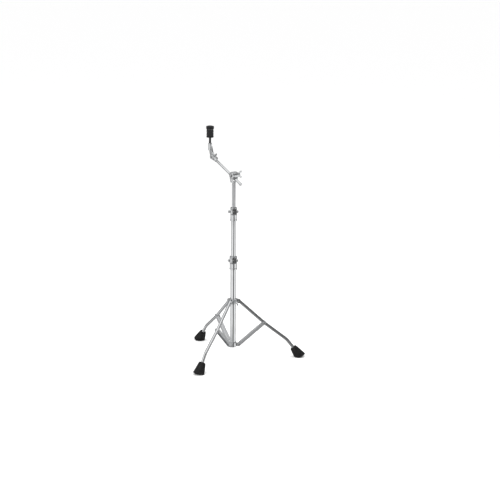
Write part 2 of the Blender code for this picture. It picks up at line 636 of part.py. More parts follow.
def make_stack():
    """Threaded stem with its sleeve and seat, two felts, a cup washer and the quick-release cap."""
    stem_at = ALONG_X * STEM_OFFSET
    lower_felt = SEAT_TOP + GAP
    upper_felt = lower_felt + FELT_HEIGHT + GAP
    washer_bottom = upper_felt + FELT_HEIGHT + GAP
    cap_bottom = washer_bottom + 0.0012 + GAP
    cap_top = cap_bottom + CAP_HEIGHT
    stem_top = cap_top - 0.0100
    keep(place(bar(STEM_RADIUS, STEM_BOTTOM, stem_top, edge=0.0006), cymbal_pivot, stem_at), "cymbal_rod", "chrome")
    bore = STEM_RADIUS + GAP
    sleeve_top = upper_felt + 0.004
    seat = turned([(SLEEVE_RADIUS, sleeve_top), (SLEEVE_RADIUS, SEAT_TOP), (FELT_RADIUS - 0.0008, SEAT_TOP),
                   (FELT_RADIUS, SEAT_TOP - 0.0012), (FELT_RADIUS, SEAT_BOTTOM + 0.0014),
                   (FELT_RADIUS - 0.0014, SEAT_BOTTOM), (SLEEVE_RADIUS, SEAT_BOTTOM),
                   (SLEEVE_RADIUS, BOSS_TOP + GAP), (bore, BOSS_TOP + GAP), (bore, sleeve_top)], 36, ring=True)
    keep(place(seat, cymbal_pivot, stem_at), "cymbal_sleeve", "plastic")
    for name, bottom in (("lower_felt", lower_felt), ("upper_felt", upper_felt)):
        felt = sleeve(SLEEVE_RADIUS + 0.0004, FELT_RADIUS, bottom, bottom + FELT_HEIGHT, edge=0.0012, sides=36)
        keep(place(felt, cymbal_pivot, stem_at), name, "felt")
    washer = sleeve(bore + 0.0004, 0.0150, washer_bottom, washer_bottom + 0.0012, sides=24)
    keep(place(washer, cymbal_pivot, stem_at), "cup_washer", "steel")
    rim = CAP_RADIUS - 0.0016
    dome = [(0, cap_top), (0.0110, cap_top - 0.0006), (rim, cap_top - 0.0026), (CAP_RADIUS, cap_top - 0.0046),
            (CAP_RADIUS, cap_top - 0.0148), (rim, cap_top - 0.0166), (rim, cap_bottom), (bore, cap_bottom),
            (bore, stem_top + 0.0010), (0, stem_top + 0.0010)]
    keep(place(turned(dome, 40), cymbal_pivot, stem_at), "cymbal_cap", "plastic")


# ---------------------------------------------------------------- assembly
clear_scene()
stand = new_collection("cymbal_boom_stand")
guides = new_collection("cutters_and_frames")

column = new_frame("column_axis", (COLUMN_X, 0, 0))
spokes = [new_frame(f"spoke_{i}", ORIGIN, column, (0, 0, math.radians(a))) for i, a in enumerate(SPOKES, 1)]
boom_head = new_frame("boom_tilt_axis", UP * TILT_HEIGHT, column, (0, 0, BOOM_AZIMUTH))
rod_foot = Vector((ROD_OFFSET * math.sin(BOOM_RISE), 0, -ROD_OFFSET * math.cos(BOOM_RISE)))
boom_line = new_frame("boom_rod_axis", rod_foot, boom_head, (0, -BOOM_RISE, 0))
cymbal_pivot = new_frame("cymbal_tilt_axis", ALONG_X * PIVOT_REACH, boom_line, (0, BOOM_RISE, 0))

make_base()
make_tripod_collar()
for index, spoke_frame in enumerate(spokes, 1):
    make_brace(index, new_frame(f"brace_{index}_axis", LOWER_PIN, spoke_frame))
    make_leg(index, new_frame(f"leg_{index}_axis", KNEE, spoke_frame))
make_telescope()
make_boom_fork()
make_boom_rotor()
make_boom_fasteners()
make_boom_rod()
make_tilter()
make_stack()
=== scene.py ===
"""Finished surfaces of a cymbal boom stand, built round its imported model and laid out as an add-on."""

import json
import math

import bmesh
import bpy
from bpy.props import FloatProperty, FloatVectorProperty, IntProperty, PointerProperty
from bpy.types import Operator, Panel, PropertyGroup
from mathutils import Matrix, Quaternion, Vector

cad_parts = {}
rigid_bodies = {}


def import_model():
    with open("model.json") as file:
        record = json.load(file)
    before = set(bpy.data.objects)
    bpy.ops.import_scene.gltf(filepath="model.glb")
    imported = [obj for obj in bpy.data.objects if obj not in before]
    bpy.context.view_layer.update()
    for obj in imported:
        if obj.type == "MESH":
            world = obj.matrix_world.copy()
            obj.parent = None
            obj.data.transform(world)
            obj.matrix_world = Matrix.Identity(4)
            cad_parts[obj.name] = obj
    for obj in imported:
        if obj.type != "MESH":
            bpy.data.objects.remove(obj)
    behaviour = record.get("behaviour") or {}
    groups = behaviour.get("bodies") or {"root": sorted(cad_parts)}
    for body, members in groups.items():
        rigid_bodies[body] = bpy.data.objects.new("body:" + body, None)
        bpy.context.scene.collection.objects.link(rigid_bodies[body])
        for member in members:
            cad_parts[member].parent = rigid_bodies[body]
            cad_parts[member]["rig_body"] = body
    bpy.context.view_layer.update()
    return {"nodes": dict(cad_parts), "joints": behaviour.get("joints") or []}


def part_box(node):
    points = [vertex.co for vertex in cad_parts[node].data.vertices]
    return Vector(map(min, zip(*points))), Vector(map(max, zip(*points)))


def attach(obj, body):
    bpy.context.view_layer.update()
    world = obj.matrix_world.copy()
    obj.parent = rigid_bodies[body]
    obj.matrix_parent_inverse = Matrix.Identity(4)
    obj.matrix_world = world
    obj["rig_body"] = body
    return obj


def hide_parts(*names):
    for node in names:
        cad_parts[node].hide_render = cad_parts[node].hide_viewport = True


bl_info = {
    "name": "Cymbal Boom Stand",
    "version": (1, 0, 0),
    "blender": (4, 5, 0),
    "location": "3D View > Sidebar > Boom Stand",
    "description": "Builds the finished pieces and materials of a cymbal boom stand",
    "category": "Object",
}

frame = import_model()
JOINTS = {joint["name"]: joint for joint in frame["joints"]}
LEGS = (1, 2, 3)
UP, ALONG_X, ALONG_Y = Vector((0, 0, 1)), Vector((1, 0, 0)), Vector((0, 1, 0))
ORIGIN = Vector((0, 0, 0))
GAP = 0.0003


# ---------------------------------------------------------------- places read from the frame
def pivot(joint):
    return Vector(JOINTS[joint]["pos_m"])


def pivot_axis(joint):
    return Vector(JOINTS[joint]["axis"])


def radius_of(node):
    """Radius of an upright round node."""
    low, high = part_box(node)
    return (high.x - low.x) / 2


def bottom_of(node):
    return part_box(node)[0].z


def top_of(node):
    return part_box(node)[1].z


def axes(x, y, origin):
    """World matrix of a local frame from its X and Y directions."""
    z = x.cross(y)
    turn = Matrix((x, y, z)).transposed().to_4x4()
    return Matrix.Translation(origin) @ turn


COLUMN_AT = Vector((pivot("middle_swivel").x, pivot("middle_swivel").y, 0))
COLUMN = Matrix.Translation(COLUMN_AT)
HINGES = {1: "tripod_fold", 2: "brace_2_fold", 3: "brace_3_fold"}


def spoke(number):
    """Upright frame whose X points out along a leg."""
    y = -pivot_axis(HINGES[number])
    return axes(y.cross(UP), y, COLUMN_AT)


def in_spoke(number, point):
    return spoke(number).inverted() @ point


BOOM_Y = -pivot_axis("boom_tilt")
BOOM_HEAD = axes(BOOM_Y.cross(UP), BOOM_Y, pivot("boom_tilt"))
BOOM_LINE = axes(pivot_axis("boom_roll"), BOOM_Y, pivot("boom_roll"))
TILTER = axes(BOOM_Y.cross(UP), BOOM_Y, pivot("cymbal_tilt"))
PIVOT_REACH = (BOOM_LINE.inverted() @ pivot("cymbal_tilt")).x
KNEE = in_spoke(1, pivot("leg_1_fold"))
LOWER_PIN = in_spoke(1, pivot("tripod_fold"))
UPPER_PIN = in_spoke(1, pivot("collar_fold"))

# Sizes that the frame's boxes don't give directly, in metres.
LEG_RADIUS, LEG_WALL = 0.00795, 0.0015
ROD_RADIUS = 0.00635
ROD_TAIL, ROD_TIP = 0.070, 0.1803
CHANNEL_INSIDE, CHANNEL_WALL = 0.0166, 0.0015
CHANNEL_WEB, CHANNEL_LIP = 0.0100, 0.0070
CLEVIS_WALL = 0.004
EAR_THICKNESS = 0.0154
LEG_BEND = Vector((0.2765, 0, 0.0920))
FOOT_TOP = Vector((0.3093, 0, 0.0495))
FOOT_SOLE = Vector((0.3441, 0, 0.0055))
FOOT_TOP_RADIUS, FOOT_SOLE_RADIUS = 0.0171, 0.0292
SOLE_TILT = math.radians(24.2)
SOLE_DOME = 0.008
FOOT_DEPTH = 0.024
PIN_HEAD = 0.0052
STEM_OFFSET = 0.0234
KNUCKLE_TURN = math.radians(8)


# ---------------------------------------------------------------- settings a user would change
class StandSizes(PropertyGroup):
    """Fine sizes that shape the edges and details."""

    edge: FloatProperty(
        name="Edge rounding", description="Radius on the edges of castings and tube ends",
        default=0.0008, min=0.0001, max=0.003, subtype="DISTANCE")
    tube_sides: IntProperty(
        name="Tube sides", description="Facets round the column tubes", default=96, min=24, max=192)
    small_sides: IntProperty(
        name="Small sides", description="Facets round pins, bolts and nuts", default=48, min=16, max=96)
    wing_thickness: FloatProperty(
        name="Wing thickness", description="Thickness of a wing nut's wings",
        default=0.0032, min=0.001, max=0.006, subtype="DISTANCE")
    foot_grooves: IntProperty(
        name="Foot grooves", description="Grooves round the lower part of each rubber foot",
        default=3, min=0, max=6)
    cap_ribs: IntProperty(
        name="Cap ribs", description="Grip ribs round the quick-release cap", default=28, min=0, max=60)
    felt_fuzz: FloatProperty(
        name="Felt fuzz", description="How far the felts' surface wanders",
        default=0.00035, min=0.0, max=0.001, subtype="DISTANCE")


class StandColours(PropertyGroup):
    """Base colours of the finishes."""

    chrome: FloatVectorProperty(
        name="Chrome", description="Bright plate on tubes, legs and boom rod",
        default=(0.80, 0.81, 0.82), size=3, min=0, max=1, subtype="COLOR")
    casting: FloatVectorProperty(
        name="Casting", description="Chromed zinc castings",
        default=(0.74, 0.75, 0.76), size=3, min=0, max=1, subtype="COLOR")
    satin: FloatVectorProperty(
        name="Satin", description="Satin plate on the top tube and braces",
        default=(0.80, 0.81, 0.82), size=3, min=0, max=1, subtype="COLOR")
    steel: FloatVectorProperty(
        name="Plated steel", description="Bolts, pins and washers",
        default=(0.58, 0.59, 0.60), size=3, min=0, max=1, subtype="COLOR")
    rubber: FloatVectorProperty(
        name="Rubber", description="Feet",
        default=(0.006, 0.006, 0.0065), size=3, min=0, max=1, subtype="COLOR")
    felt: FloatVectorProperty(
        name="Felt", description="Cymbal felts",
        default=(0.012, 0.012, 0.013), size=3, min=0, max=1, subtype="COLOR")
    plastic: FloatVectorProperty(
        name="Plastic", description="Quick-release cap and sleeve",
        default=(0.009, 0.009, 0.010), size=3, min=0, max=1, subtype="COLOR")


class StandStudio(PropertyGroup):
    """Camera, floor and light."""

    lens: FloatProperty(
        name="Lens", description="Focal length", default=117.4, min=20, max=300, unit="CAMERA")
    distance: FloatProperty(
        name="Distance", description="How far the camera stands from the column",
        default=8.0, min=1, max=20, subtype="DISTANCE")
    height: FloatProperty(
        name="Height", description="Camera height above the floor",
        default=2.508, min=0, max=6, subtype="DISTANCE")
    shift: FloatProperty(
        name="Shift", description="How far the camera stands to the right of the column",
        default=0.0838, min=-1, max=1, subtype="DISTANCE")
    turn: FloatProperty(
        name="Turn", description="How far round the column the camera stands",
        default=math.radians(-1.4), min=-3.2, max=3.2, subtype="ANGLE")
    pitch: FloatProperty(
        name="Pitch", description="How far the camera looks down",
        default=math.radians(13.67), min=0, max=1.2, subtype="ANGLE")
    roll: FloatProperty(
        name="Roll", description="Turn about the line of sight",
        default=math.radians(0.5), min=-0.2, max=0.2, subtype="ANGLE")
    sky: FloatProperty(
        name="Sky", description="Strength of the even white light", default=1.0, min=0, max=5)


def sizes():
    return bpy.context.scene.stand_sizes


def colours():
    return bpy.context.scene.stand_colours


def studio():
    return bpy.context.scene.stand_studio


# ---------------------------------------------------------------- shader maths
class Shade:
    """A node socket that takes part in Python arithmetic."""

    def __init__(self, tree, socket):
        self.tree = tree
        self.socket = socket

    def maths(self, operation, *terms):
        return self.tree.node("ShaderNodeMath", {"operation": operation}, dict(enumerate(terms)))[0]

    def __add__(self, other):
        return self.maths("ADD", self, other)

    def __sub__(self, other):
        return self.maths("SUBTRACT", self, other)

    def __rsub__(self, other):
        return self.maths("SUBTRACT", other, self)

    def __mul__(self, other):
        return self.maths("MULTIPLY", self, other)

    def above(self, low, high):
        """0 below low, 1 above high, straight between."""
        values = {0: self, 1: low, 2: high, 3: 0.0, 4: 1.0}
        return self.tree.node("ShaderNodeMapRange", {"clamp": True}, values)[0]

    __radd__ = __add__
    __rmul__ = __mul__


class Graph:
    """A node tree being built."""

    def __init__(self, tree):
        self.nodes = tree.nodes
        self.links = tree.links

    def feed(self, node, values):
        for key, value in values.items():
            if isinstance(value, Shade):
                self.links.new(value.socket, node.inputs[key])
            else:
                node.inputs[key].default_value = value

    def node(self, kind, settings=None, values=None):
        """Add a node: its settings first, then its sockets. Returns its outputs as Shades."""
        node = self.nodes.new(kind)
        for key, value in (settings or {}).items():
            setattr(node, key, value)
        self.feed(node, values or {})
        return [Shade(self, output) for output in node.outputs]


class Recipe(Graph):
    """A material in the making: its nodes, and the Principled shader they feed."""

    def __init__(self, name, colour, roughness, metallic=0.0):
        self.material = bpy.data.materials.new(name)
        self.material.use_nodes = True
        super().__init__(self.material.node_tree)
        self.shader = self.nodes["Principled BSDF"]
        self.feed(self.shader, {"Base Color": (*colour, 1), "Roughness": roughness, "Metallic": metallic})

    def place(self, scale=(1, 1, 1)):
        """Piece coordinates, stretched."""
        coordinates = self.node("ShaderNodeTexCoord")[3]
        return self.node("ShaderNodeMapping", None, {"Vector": coordinates, "Scale": scale})[0]

    def noise(self, scale, detail=3.0, stretch=(1, 1, 1), roughness=0.55):
        return self.node("ShaderNodeTexNoise", None, {
            "Vector": self.place(stretch), "Scale": scale, "Detail": detail, "Roughness": roughness})[0]

    def tint(self, amount, first, second):
        """A colour between two, by amount."""
        mixed = self.node("ShaderNodeMix", {"data_type": "RGBA"}, {
            "Factor": amount, 6: (*first, 1), 7: (*second, 1)})
        return mixed[2]

    def bump(self, height, strength, distance):
        return self.node("ShaderNodeBump", None, {
            "Height": height, "Strength": strength, "Distance": distance})[0]

    def set(self, **values):
        self.feed(self.shader, {key.replace("_", " "): value for key, value in values.items()})
        return self.material


def scaled(colour, factor):
    return tuple(min(1.0, channel * factor) for channel in colour)


def bright_plate(name, colour, polish=0.055):
    """Polished plate: faint smudges, hairline scratches along the piece and a trace of ripple."""
    recipe = Recipe(name, colour, polish, 1.0)
    smudge = recipe.noise(38.0, 4.0).above(0.48, 0.72)
    hairline = recipe.noise(900.0, 2.0, (1, 1, 0.015)).above(0.60, 0.78)
    ripple = recipe.noise(55.0, 1.0)
    return recipe.set(
        Base_Color=recipe.tint(smudge, colour, scaled(colour, 0.93)),
        Roughness=smudge * 0.07 + hairline * 0.05 + polish,
        Normal=recipe.bump(ripple + hairline * 0.15, 0.18, 0.0002))


def cast_plate(name, colour):
    """Chromed casting: softer orange-peel surface, duller in patches."""
    recipe = Recipe(name, colour, 0.14, 1.0)
    peel = recipe.noise(420.0, 2.0)
    patch = recipe.noise(90.0, 3.0).above(0.42, 0.70)
    return recipe.set(
        Base_Color=recipe.tint(patch, colour, scaled(colour, 0.88)),
        Roughness=patch * 0.12 + 0.10,
        Normal=recipe.bump(peel, 0.22, 0.0002))


def brushed_plate(name, colour, roughness=0.42):
    """Satin plate with fine lines drawn along the piece."""
    recipe = Recipe(name, colour, roughness, 1.0)
    lines = recipe.noise(1500.0, 3.0, (1, 1, 0.012))
    cloud = recipe.noise(30.0, 3.0)
    return recipe.set(
        Base_Color=recipe.tint(lines, scaled(colour, 0.90), scaled(colour, 1.08)),
        Roughness=lines * 0.16 + cloud * 0.10 + (roughness - 0.10),
        Normal=recipe.bump(lines, 0.30, 0.0001))


def plated_steel(name, colour):
    """Zinc-plated steel: crystalline mottling and a faintly warm cast in places."""
    recipe = Recipe(name, colour, 0.30, 1.0)
    crystal = recipe.noise(650.0, 4.0)
    warm = recipe.noise(120.0, 2.0).above(0.45, 0.70)
    golden = (colour[0], colour[1] * 0.97, colour[2] * 0.90)
    return recipe.set(
        Base_Color=recipe.tint(warm, colour, golden),
        Roughness=crystal * 0.22 + 0.18,
        Normal=recipe.bump(crystal, 0.25, 0.00015))


def moulded_rubber(name, colour):
    """Matt rubber: fine grain, pale dust low down and scuffs."""
    recipe = Recipe(name, colour, 0.7)
    grain = recipe.noise(1400.0, 3.0)
    scuff = recipe.noise(160.0, 5.0).above(0.56, 0.72)
    dust = recipe.noise(60.0, 4.0).above(0.40, 0.75)
    return recipe.set(
        Base_Color=recipe.tint(scuff * 0.5 + dust * 0.25, colour, (0.045, 0.044, 0.042)),
        Roughness=grain * 0.20 + scuff * 0.12 + 0.50,
        Specular_IOR_Level=0.22,
        Normal=recipe.bump(grain + scuff * 0.4, 0.45, 0.0003))


def pressed_felt(name, colour):
    """Wool felt: tangled fibres, lint and soft clumps."""
    recipe = Recipe(name, colour, 1.0)
    fibre = recipe.noise(1100.0, 6.0, (1, 1, 0.35), 0.7)
    across = recipe.noise(900.0, 5.0, (0.4, 1, 1), 0.7)
    clump = recipe.noise(220.0, 3.0)
    lint = recipe.noise(1900.0, 2.0, (0.3, 1, 0.6)).above(0.66, 0.74)
    return recipe.set(
        Sheen_Weight=0.10,
        Sheen_Roughness=0.5,
        Specular_IOR_Level=0.2,
        Base_Color=recipe.tint(lint * 0.5 + clump * 0.3, scaled(colour, 0.8), (0.07, 0.07, 0.073)),
        Roughness=fibre * 0.15 + 0.85,
        Normal=recipe.bump(fibre + across + clump, 0.8, 0.0006))


def moulded_plastic(name, colour, roughness=0.38):
    """Moulded plastic: spark-eroded texture, slightly rubbed."""
    recipe = Recipe(name, colour, roughness)
    texture = recipe.noise(1800.0, 2.0)
    rubbed = recipe.noise(140.0, 4.0).above(0.50, 0.70)
    return recipe.set(
        Specular_IOR_Level=0.3,
        Base_Color=recipe.tint(rubbed, colour, scaled(colour, 1.7)),
        Roughness=texture * 0.14 + (roughness - 0.05) - rubbed * 0.08,
        Normal=recipe.bump(texture, 0.35, 0.0002))


FINISHES = {}


def finish(slot):
    """The material of a slot, made once."""
    if slot not in FINISHES:
        shades = colours()
        makers = {
            "chrome": lambda: bright_plate("bright_chrome", shades.chrome),
            "zinc": lambda: cast_plate("chromed_casting", shades.casting),
            "satin": lambda: brushed_plate("satin_plate", shades.satin),
            "steel": lambda: plated_steel("plated_steel", shades.steel),
            "rubber": lambda: moulded_rubber("foot_rubber", shades.rubber),
            "felt": lambda: pressed_felt("black_felt", shades.felt),
            "plastic": lambda: moulded_plastic("black_plastic", shades.plastic),
            "nylon": lambda: moulded_plastic("black_nylon", scaled(shades.plastic, 2.0), 0.5),
        }
        FINISHES[slot] = makers[slot]()
    return FINISHES[slot]


# ---------------------------------------------------------------- shape helpers
def arc(centre, radius, start, end, count):
    """Points of a flat arc, angles in degrees."""
    angles = [math.radians(start + (end - start) * i / count) for i in range(count + 1)]
    return [(centre[0] + radius * math.cos(a), centre[1] + radius * math.sin(a)) for a in angles]


def softened(outline, radius, steps=3, closed=False):
    """An outline with its corners turned on small arcs; corners on the turning axis stay."""
    points = [Vector(p) for p in outline]
    count = len(points)
    soft = []
    for i, here in enumerate(points):
        ends = not closed and i in (0, count - 1)
        before, after = points[i - 1] - here, points[(i + 1) % count] - here
        if ends or here.x < 1e-7 or min(before.length, after.length) < 1e-7:
            soft.append(tuple(here))
            continue
        reach = min(radius, before.length * 0.45, after.length * 0.45)
        first, last = here + before.normalized() * reach, here + after.normalized() * reach
        for step in range(steps + 1):
            t = step / steps
            point = first * (1 - t) ** 2 + here * (2 * t * (1 - t)) + last * t ** 2
            soft.append(tuple(point))
    return soft


def new_mesh(name, shape, sharp=38.0):
    """A mesh object from a bmesh, smooth but for its real edges."""
    mesh = bpy.data.meshes.new(name)
    bmesh.ops.recalc_face_normals(shape, faces=shape.faces)
    shape.to_mesh(mesh)
    shape.free()
    mesh.shade_smooth()
    mesh.set_sharp_from_angle(angle=math.radians(sharp))
    obj = bpy.data.objects.new(name, mesh)
    bpy.context.scene.collection.objects.link(obj)
    return obj


def turned(name, profile, sides, closed=False, wobble=None):
    """A body of revolution about Z from (radius, height) points.

    wobble(angle, height) scales the radius.
    """
    shape = bmesh.new()
    rings = []
    for radius, height in profile:
        if radius < 1e-7:
            rings.append([shape.verts.new((0, 0, height))])
            continue
        ring = []
        for i in range(sides):
            angle = math.tau * i / sides
            reach = radius * (wobble(angle, height) if wobble else 1.0)
            ring.append(shape.verts.new((reach * math.cos(angle), reach * math.sin(angle), height)))
        rings.append(ring)
    pairs = list(zip(rings, rings[1:]))
    if closed:
        pairs.append((rings[-1], rings[0]))
    for lower, upper in pairs:
        for i in range(sides):
            j = (i + 1) % sides
            if len(lower) == 1 and len(upper) > 1:
                shape.faces.new((lower[0], upper[i], upper[j]))
            elif len(upper) == 1 and len(lower) > 1:
                shape.faces.new((lower[i], lower[j], upper[0]))
            elif len(lower) > 1:
                shape.faces.new((lower[i], lower[j], upper[j], upper[i]))
    return new_mesh(name, shape)


def tube(name, bore, radius, bottom, top, sides, edge=0.0004):
    """A straight tube with softened rims."""
    corners = [(radius, top), (radius, bottom), (bore, bottom), (bore, top)]
    return turned(name, softened(corners, edge, 3, closed=True), sides, closed=True)


def bar(name, radius, bottom, top, sides, edge=0.0005):
    corners = [(0, top), (radius, top), (radius, bottom), (0, bottom)]
    return turned(name, softened(corners, edge), sides)


def plate(name, outline, thickness, edge=0.0006, steps=2):
    """A flat plate in XZ, its thickness centred on Y = 0, its rim rounded."""
    shape = bmesh.new()
    front = shape.faces.new([shape.verts.new((x, -thickness / 2, z)) for x, z in outline])
    pushed = bmesh.ops.extrude_face_region(shape, geom=[front])
    moved = [item for item in pushed["geom"] if isinstance(item, bmesh.types.BMVert)]
    bmesh.ops.translate(shape, verts=moved, vec=(0, thickness, 0))
    if edge:
        rims = [e for e in shape.edges if abs(e.verts[0].co.y - e.verts[1].co.y) < 1e-6]
        bmesh.ops.bevel(shape, geom=rims, offset=edge, segments=steps, profile=0.5, affect="EDGES")
    return new_mesh(name, shape)


def block(name, size, edge, steps=3):
    """A box about its own middle with rounded edges."""
    shape = bmesh.new()
    bmesh.ops.create_cube(shape, size=1.0, matrix=Matrix.Diagonal((*size, 1)))
    bmesh.ops.bevel(shape, geom=shape.edges[:], offset=edge, segments=steps, profile=0.5, affect="EDGES")
    return new_mesh(name, shape)


def ring_points(middle, across, radius, sides):
    """Points of a circle spanned by a direction in XZ and Y."""
    angles = [math.tau * i / sides for i in range(sides)]
    return [middle + (across * math.cos(a) + ALONG_Y * math.sin(a)) * radius for a in angles]


def sweep(name, path, radius, sides):
    """The open skin of a round tube along a path in XZ."""
    shape = bmesh.new()
    rows = []
    for i, here in enumerate(path):
        ahead = (path[min(i + 1, len(path) - 1)] - path[max(i - 1, 0)]).normalized()
        normal = ALONG_Y.cross(ahead)
        rows.append([shape.verts.new(point) for point in ring_points(here, normal, radius, sides)])
    for lower, upper in zip(rows, rows[1:]):
        for k, corner in enumerate(lower):
            shape.faces.new((corner, lower[k - 1], upper[k - 1], upper[k]))
    return new_mesh(name, shape)


def loft(name, rings, bottom):
    """A closed skin over rings of points, cut flat at a height."""
    shape = bmesh.new()
    rows = [[shape.verts.new(point) for point in points] for points in rings]
    for upper, lower in zip(rows, rows[1:]):
        for i, corner in enumerate(upper):
            shape.faces.new((corner, upper[i - 1], lower[i - 1], lower[i]))
    shape.faces.new(rows[0])
    shape.faces.new(rows[-1])
    everything = shape.verts[:] + shape.edges[:] + shape.faces[:]
    cut = bmesh.ops.bisect_plane(
        shape, geom=everything, plane_co=(0, 0, bottom), plane_no=(0, 0, 1), clear_inner=True)
    rim = [edge for edge in cut["geom_cut"] if isinstance(edge, bmesh.types.BMEdge)]
    bmesh.ops.edgenet_fill(shape, edges=rim)
    return new_mesh(name, shape)


def at(location=ORIGIN, axis=UP, roll=0.0):
    """Local matrix with Z along axis, rolled about it."""
    turn = UP.rotation_difference(Vector(axis)) @ Quaternion(UP, roll)
    return Matrix.Translation(location) @ turn.to_matrix().to_4x4()


def moved(obj, matrix):
    """Set a tool's place inside a piece, baked into its mesh."""
    obj.data.transform(matrix)
    return obj


def combined(obj, tools, operation):
    """Join tools to a piece, or cut them from it, for good."""
    for tool in tools:
        modifier = obj.modifiers.new("combine", "BOOLEAN")
        modifier.operation = operation
        modifier.solver = "EXACT"
        modifier.object = tool
    bpy.context.view_layer.update()
    depsgraph = bpy.context.evaluated_depsgraph_get()
    mesh = bpy.data.meshes.new_from_object(obj.evaluated_get(depsgraph))
    obj.modifiers.clear()
    obj.data = mesh
    for tool in tools:
        bpy.data.objects.remove(tool, do_unlink=True)
    mesh.shade_smooth()
    mesh.set_sharp_from_angle(angle=math.radians(32))
    return obj


def joined(obj, *tools):
    return combined(obj, tools, "UNION")


def drilled(obj, *tools):
    return combined(obj, tools, "DIFFERENCE")


def fit(obj, matrix, slot, node):
    """Put a finished piece in place: it stands for a CAD node and moves with that node's body."""
    obj.name = f"{node}_finished"
    obj.matrix_world = matrix
    obj.data.materials.clear()
    obj.data.materials.append(finish(slot))
    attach(obj, frame["nodes"][node]["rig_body"])
    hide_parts(node)
    return obj


def rounded_path(corners, radii, count):
    """A path through corners with each inner one turned on an arc."""
    path = [corners[0]]
    for before, corner, after, radius in zip(corners, corners[1:], corners[2:], radii):
        back, ahead = (before - corner).normalized(), (after - corner).normalized()
        half = back.angle(ahead) / 2
        centre = corner + (back + ahead).normalized() * radius / math.sin(half)
        first = (corner + back * radius / math.tan(half) - centre).normalized()
        last = (corner + ahead * radius / math.tan(half) - centre).normalized()
        path += [centre + first.slerp(last, i / count) * radius for i in range(count + 1)]
    path.append(corners[-1])
    return path


# ---------------------------------------------------------------- studio
# Dark flags round the stand: from and to turn (0 is in front, 90 to the right), from and to rise, depth.
FLAGS = (
    (-6, 36, -60, 60, 0.88),
    (105, 181, -60, 60, 0.50),
    (118, 136, -60, 60, 0.60),
    (-181, -105, -60, 60, 0.50),
    (-136, -118, -60, 60, 0.60),
    (-70, -58, -60, 40, 0.45),
    (38, 140, 14, 46, 0.85),
    (-80, -6, -70, -27, 0.65),
    (-181, 181, 0, 13, 0.80),
    (-181, 181, -91, -46, 0.60),
)


def window(value, low, high, soft):
    """1 between two angles in degrees, easing to 0 outside."""
    rise = value.above(math.radians(low - soft), math.radians(low + soft))
    fall = value.above(math.radians(high - soft), math.radians(high + soft))
    return rise * (1 - fall)


class STAND_OT_stage(Operator):
    """Make the floor, the light and the camera"""

    bl_idname = "stand.stage"
    bl_label = "Stage"

    def execute(self, context):
        self.make_floor()
        self.make_light(context.scene)
        self.make_camera(context.scene)
        return {"FINISHED"}

    def make_floor(self):
        shape = bmesh.new()
        bmesh.ops.create_grid(shape, x_segments=1, y_segments=1, size=30)
        floor = new_mesh("studio_floor", shape)
        recipe = Recipe("pale_floor", (0.93, 0.93, 0.93), 0.9)
        floor.data.materials.append(recipe.set(Specular_IOR_Level=0.1))
        floor.visible_glossy = False

    def make_light(self, scene):
        world = bpy.data.worlds.new("studio")
        scene.world = world
        world.use_nodes = True
        graph = Graph(world.node_tree)
        graph.feed(graph.nodes["Background"], {"Color": self.sky(graph), "Strength": studio().sky})
        middle = COLUMN_AT + UP * 0.55
        for name, place, size, power in (
                ("key_light", (-1.6, -1.4, 3.6), 2.2, 60.0), ("fill_light", (1.8, 0.9, 3.6), 2.2, 40.0)):
            data = bpy.data.lights.new(name, "AREA")
            data.size = size
            data.energy = power
            lamp = bpy.data.objects.new(name, data)
            scene.collection.objects.link(lamp)
            lamp.visible_glossy = False
            lamp.location = place
            lamp.rotation_euler = (middle - Vector(place)).to_track_quat("-Z", "Y").to_euler()
        scene.view_settings.view_transform = "Standard"

    def sky(self, graph):
        """Light from each direction: white with dark flags round the stand and a bright ceiling."""
        way = graph.node("ShaderNodeTexCoord")[0]
        x, y, z = graph.node("ShaderNodeSeparateXYZ", None, {0: way})
        turn = graph.node("ShaderNodeMath", {"operation": "ARCTAN2"}, {0: x, 1: y * -1})[0]
        rise = graph.node("ShaderNodeMath", {"operation": "ARCSINE"}, {0: z})[0]
        level = 0.98
        for low, high, bottom, top, depth in FLAGS:
            across = window(turn, low, high, 5)
            level = level * (1 - across * window(rise, bottom, top, 6) * depth)
        mirrored = graph.node("ShaderNodeLightPath")[3]
        level = level * mirrored + (1 - mirrored) * 1.08
        return graph.node("ShaderNodeCombineColor", None, {0: level, 1: level, 2: level})[0]

    def make_camera(self, scene):
        settings = studio()
        data = bpy.data.cameras.new("camera")
        data.lens = settings.lens
        data.clip_end = 100
        camera = bpy.data.objects.new("camera", data)
        scene.collection.objects.link(camera)
        level = Matrix.Rotation(math.pi / 2 - settings.pitch, 4, "X")
        seat = Matrix.Translation((settings.shift, -settings.distance, settings.height))
        round_column = Matrix.Translation(COLUMN_AT) @ Matrix.Rotation(settings.turn, 4, "Z")
        camera.matrix_world = round_column @ seat @ level @ Matrix.Rotation(settings.roll, 4, "Z")
        scene.camera = camera


# ---------------------------------------------------------------- column
class STAND_OT_tubes(Operator):
    """Make the three column tubes and their nylon guides"""

    bl_idname = "stand.tubes"
    bl_label = "Column Tubes"

    def execute(self, context):
        sides = sizes().tube_sides
        wall = 0.0012
        for name, slot in (("base", "chrome"), ("middle", "chrome"), ("top", "satin")):
            node = f"{name}_tube"
            radius = radius_of(node)
            body = tube(node, radius - wall, radius, bottom_of(node), top_of(node), sides)
            fit(body, COLUMN, slot, node)
        for name in ("middle", "top"):
            node = f"{name}_tube_guide"
            flange, rim, top = radius_of(node), bottom_of(node), top_of(node)
            spigot = radius_of(f"{name}_tube") - wall - GAP
            corners = [(spigot, top), (spigot, rim + 0.004), (flange, rim + 0.004), (flange, rim),
                       (spigot - 0.0015, rim), (spigot - 0.0015, top)]
            guide = turned(node, softened(corners, 0.0004, 2, closed=True), sides // 2, closed=True)
            fit(guide, COLUMN, "nylon", node)
        return {"FINISHED"}


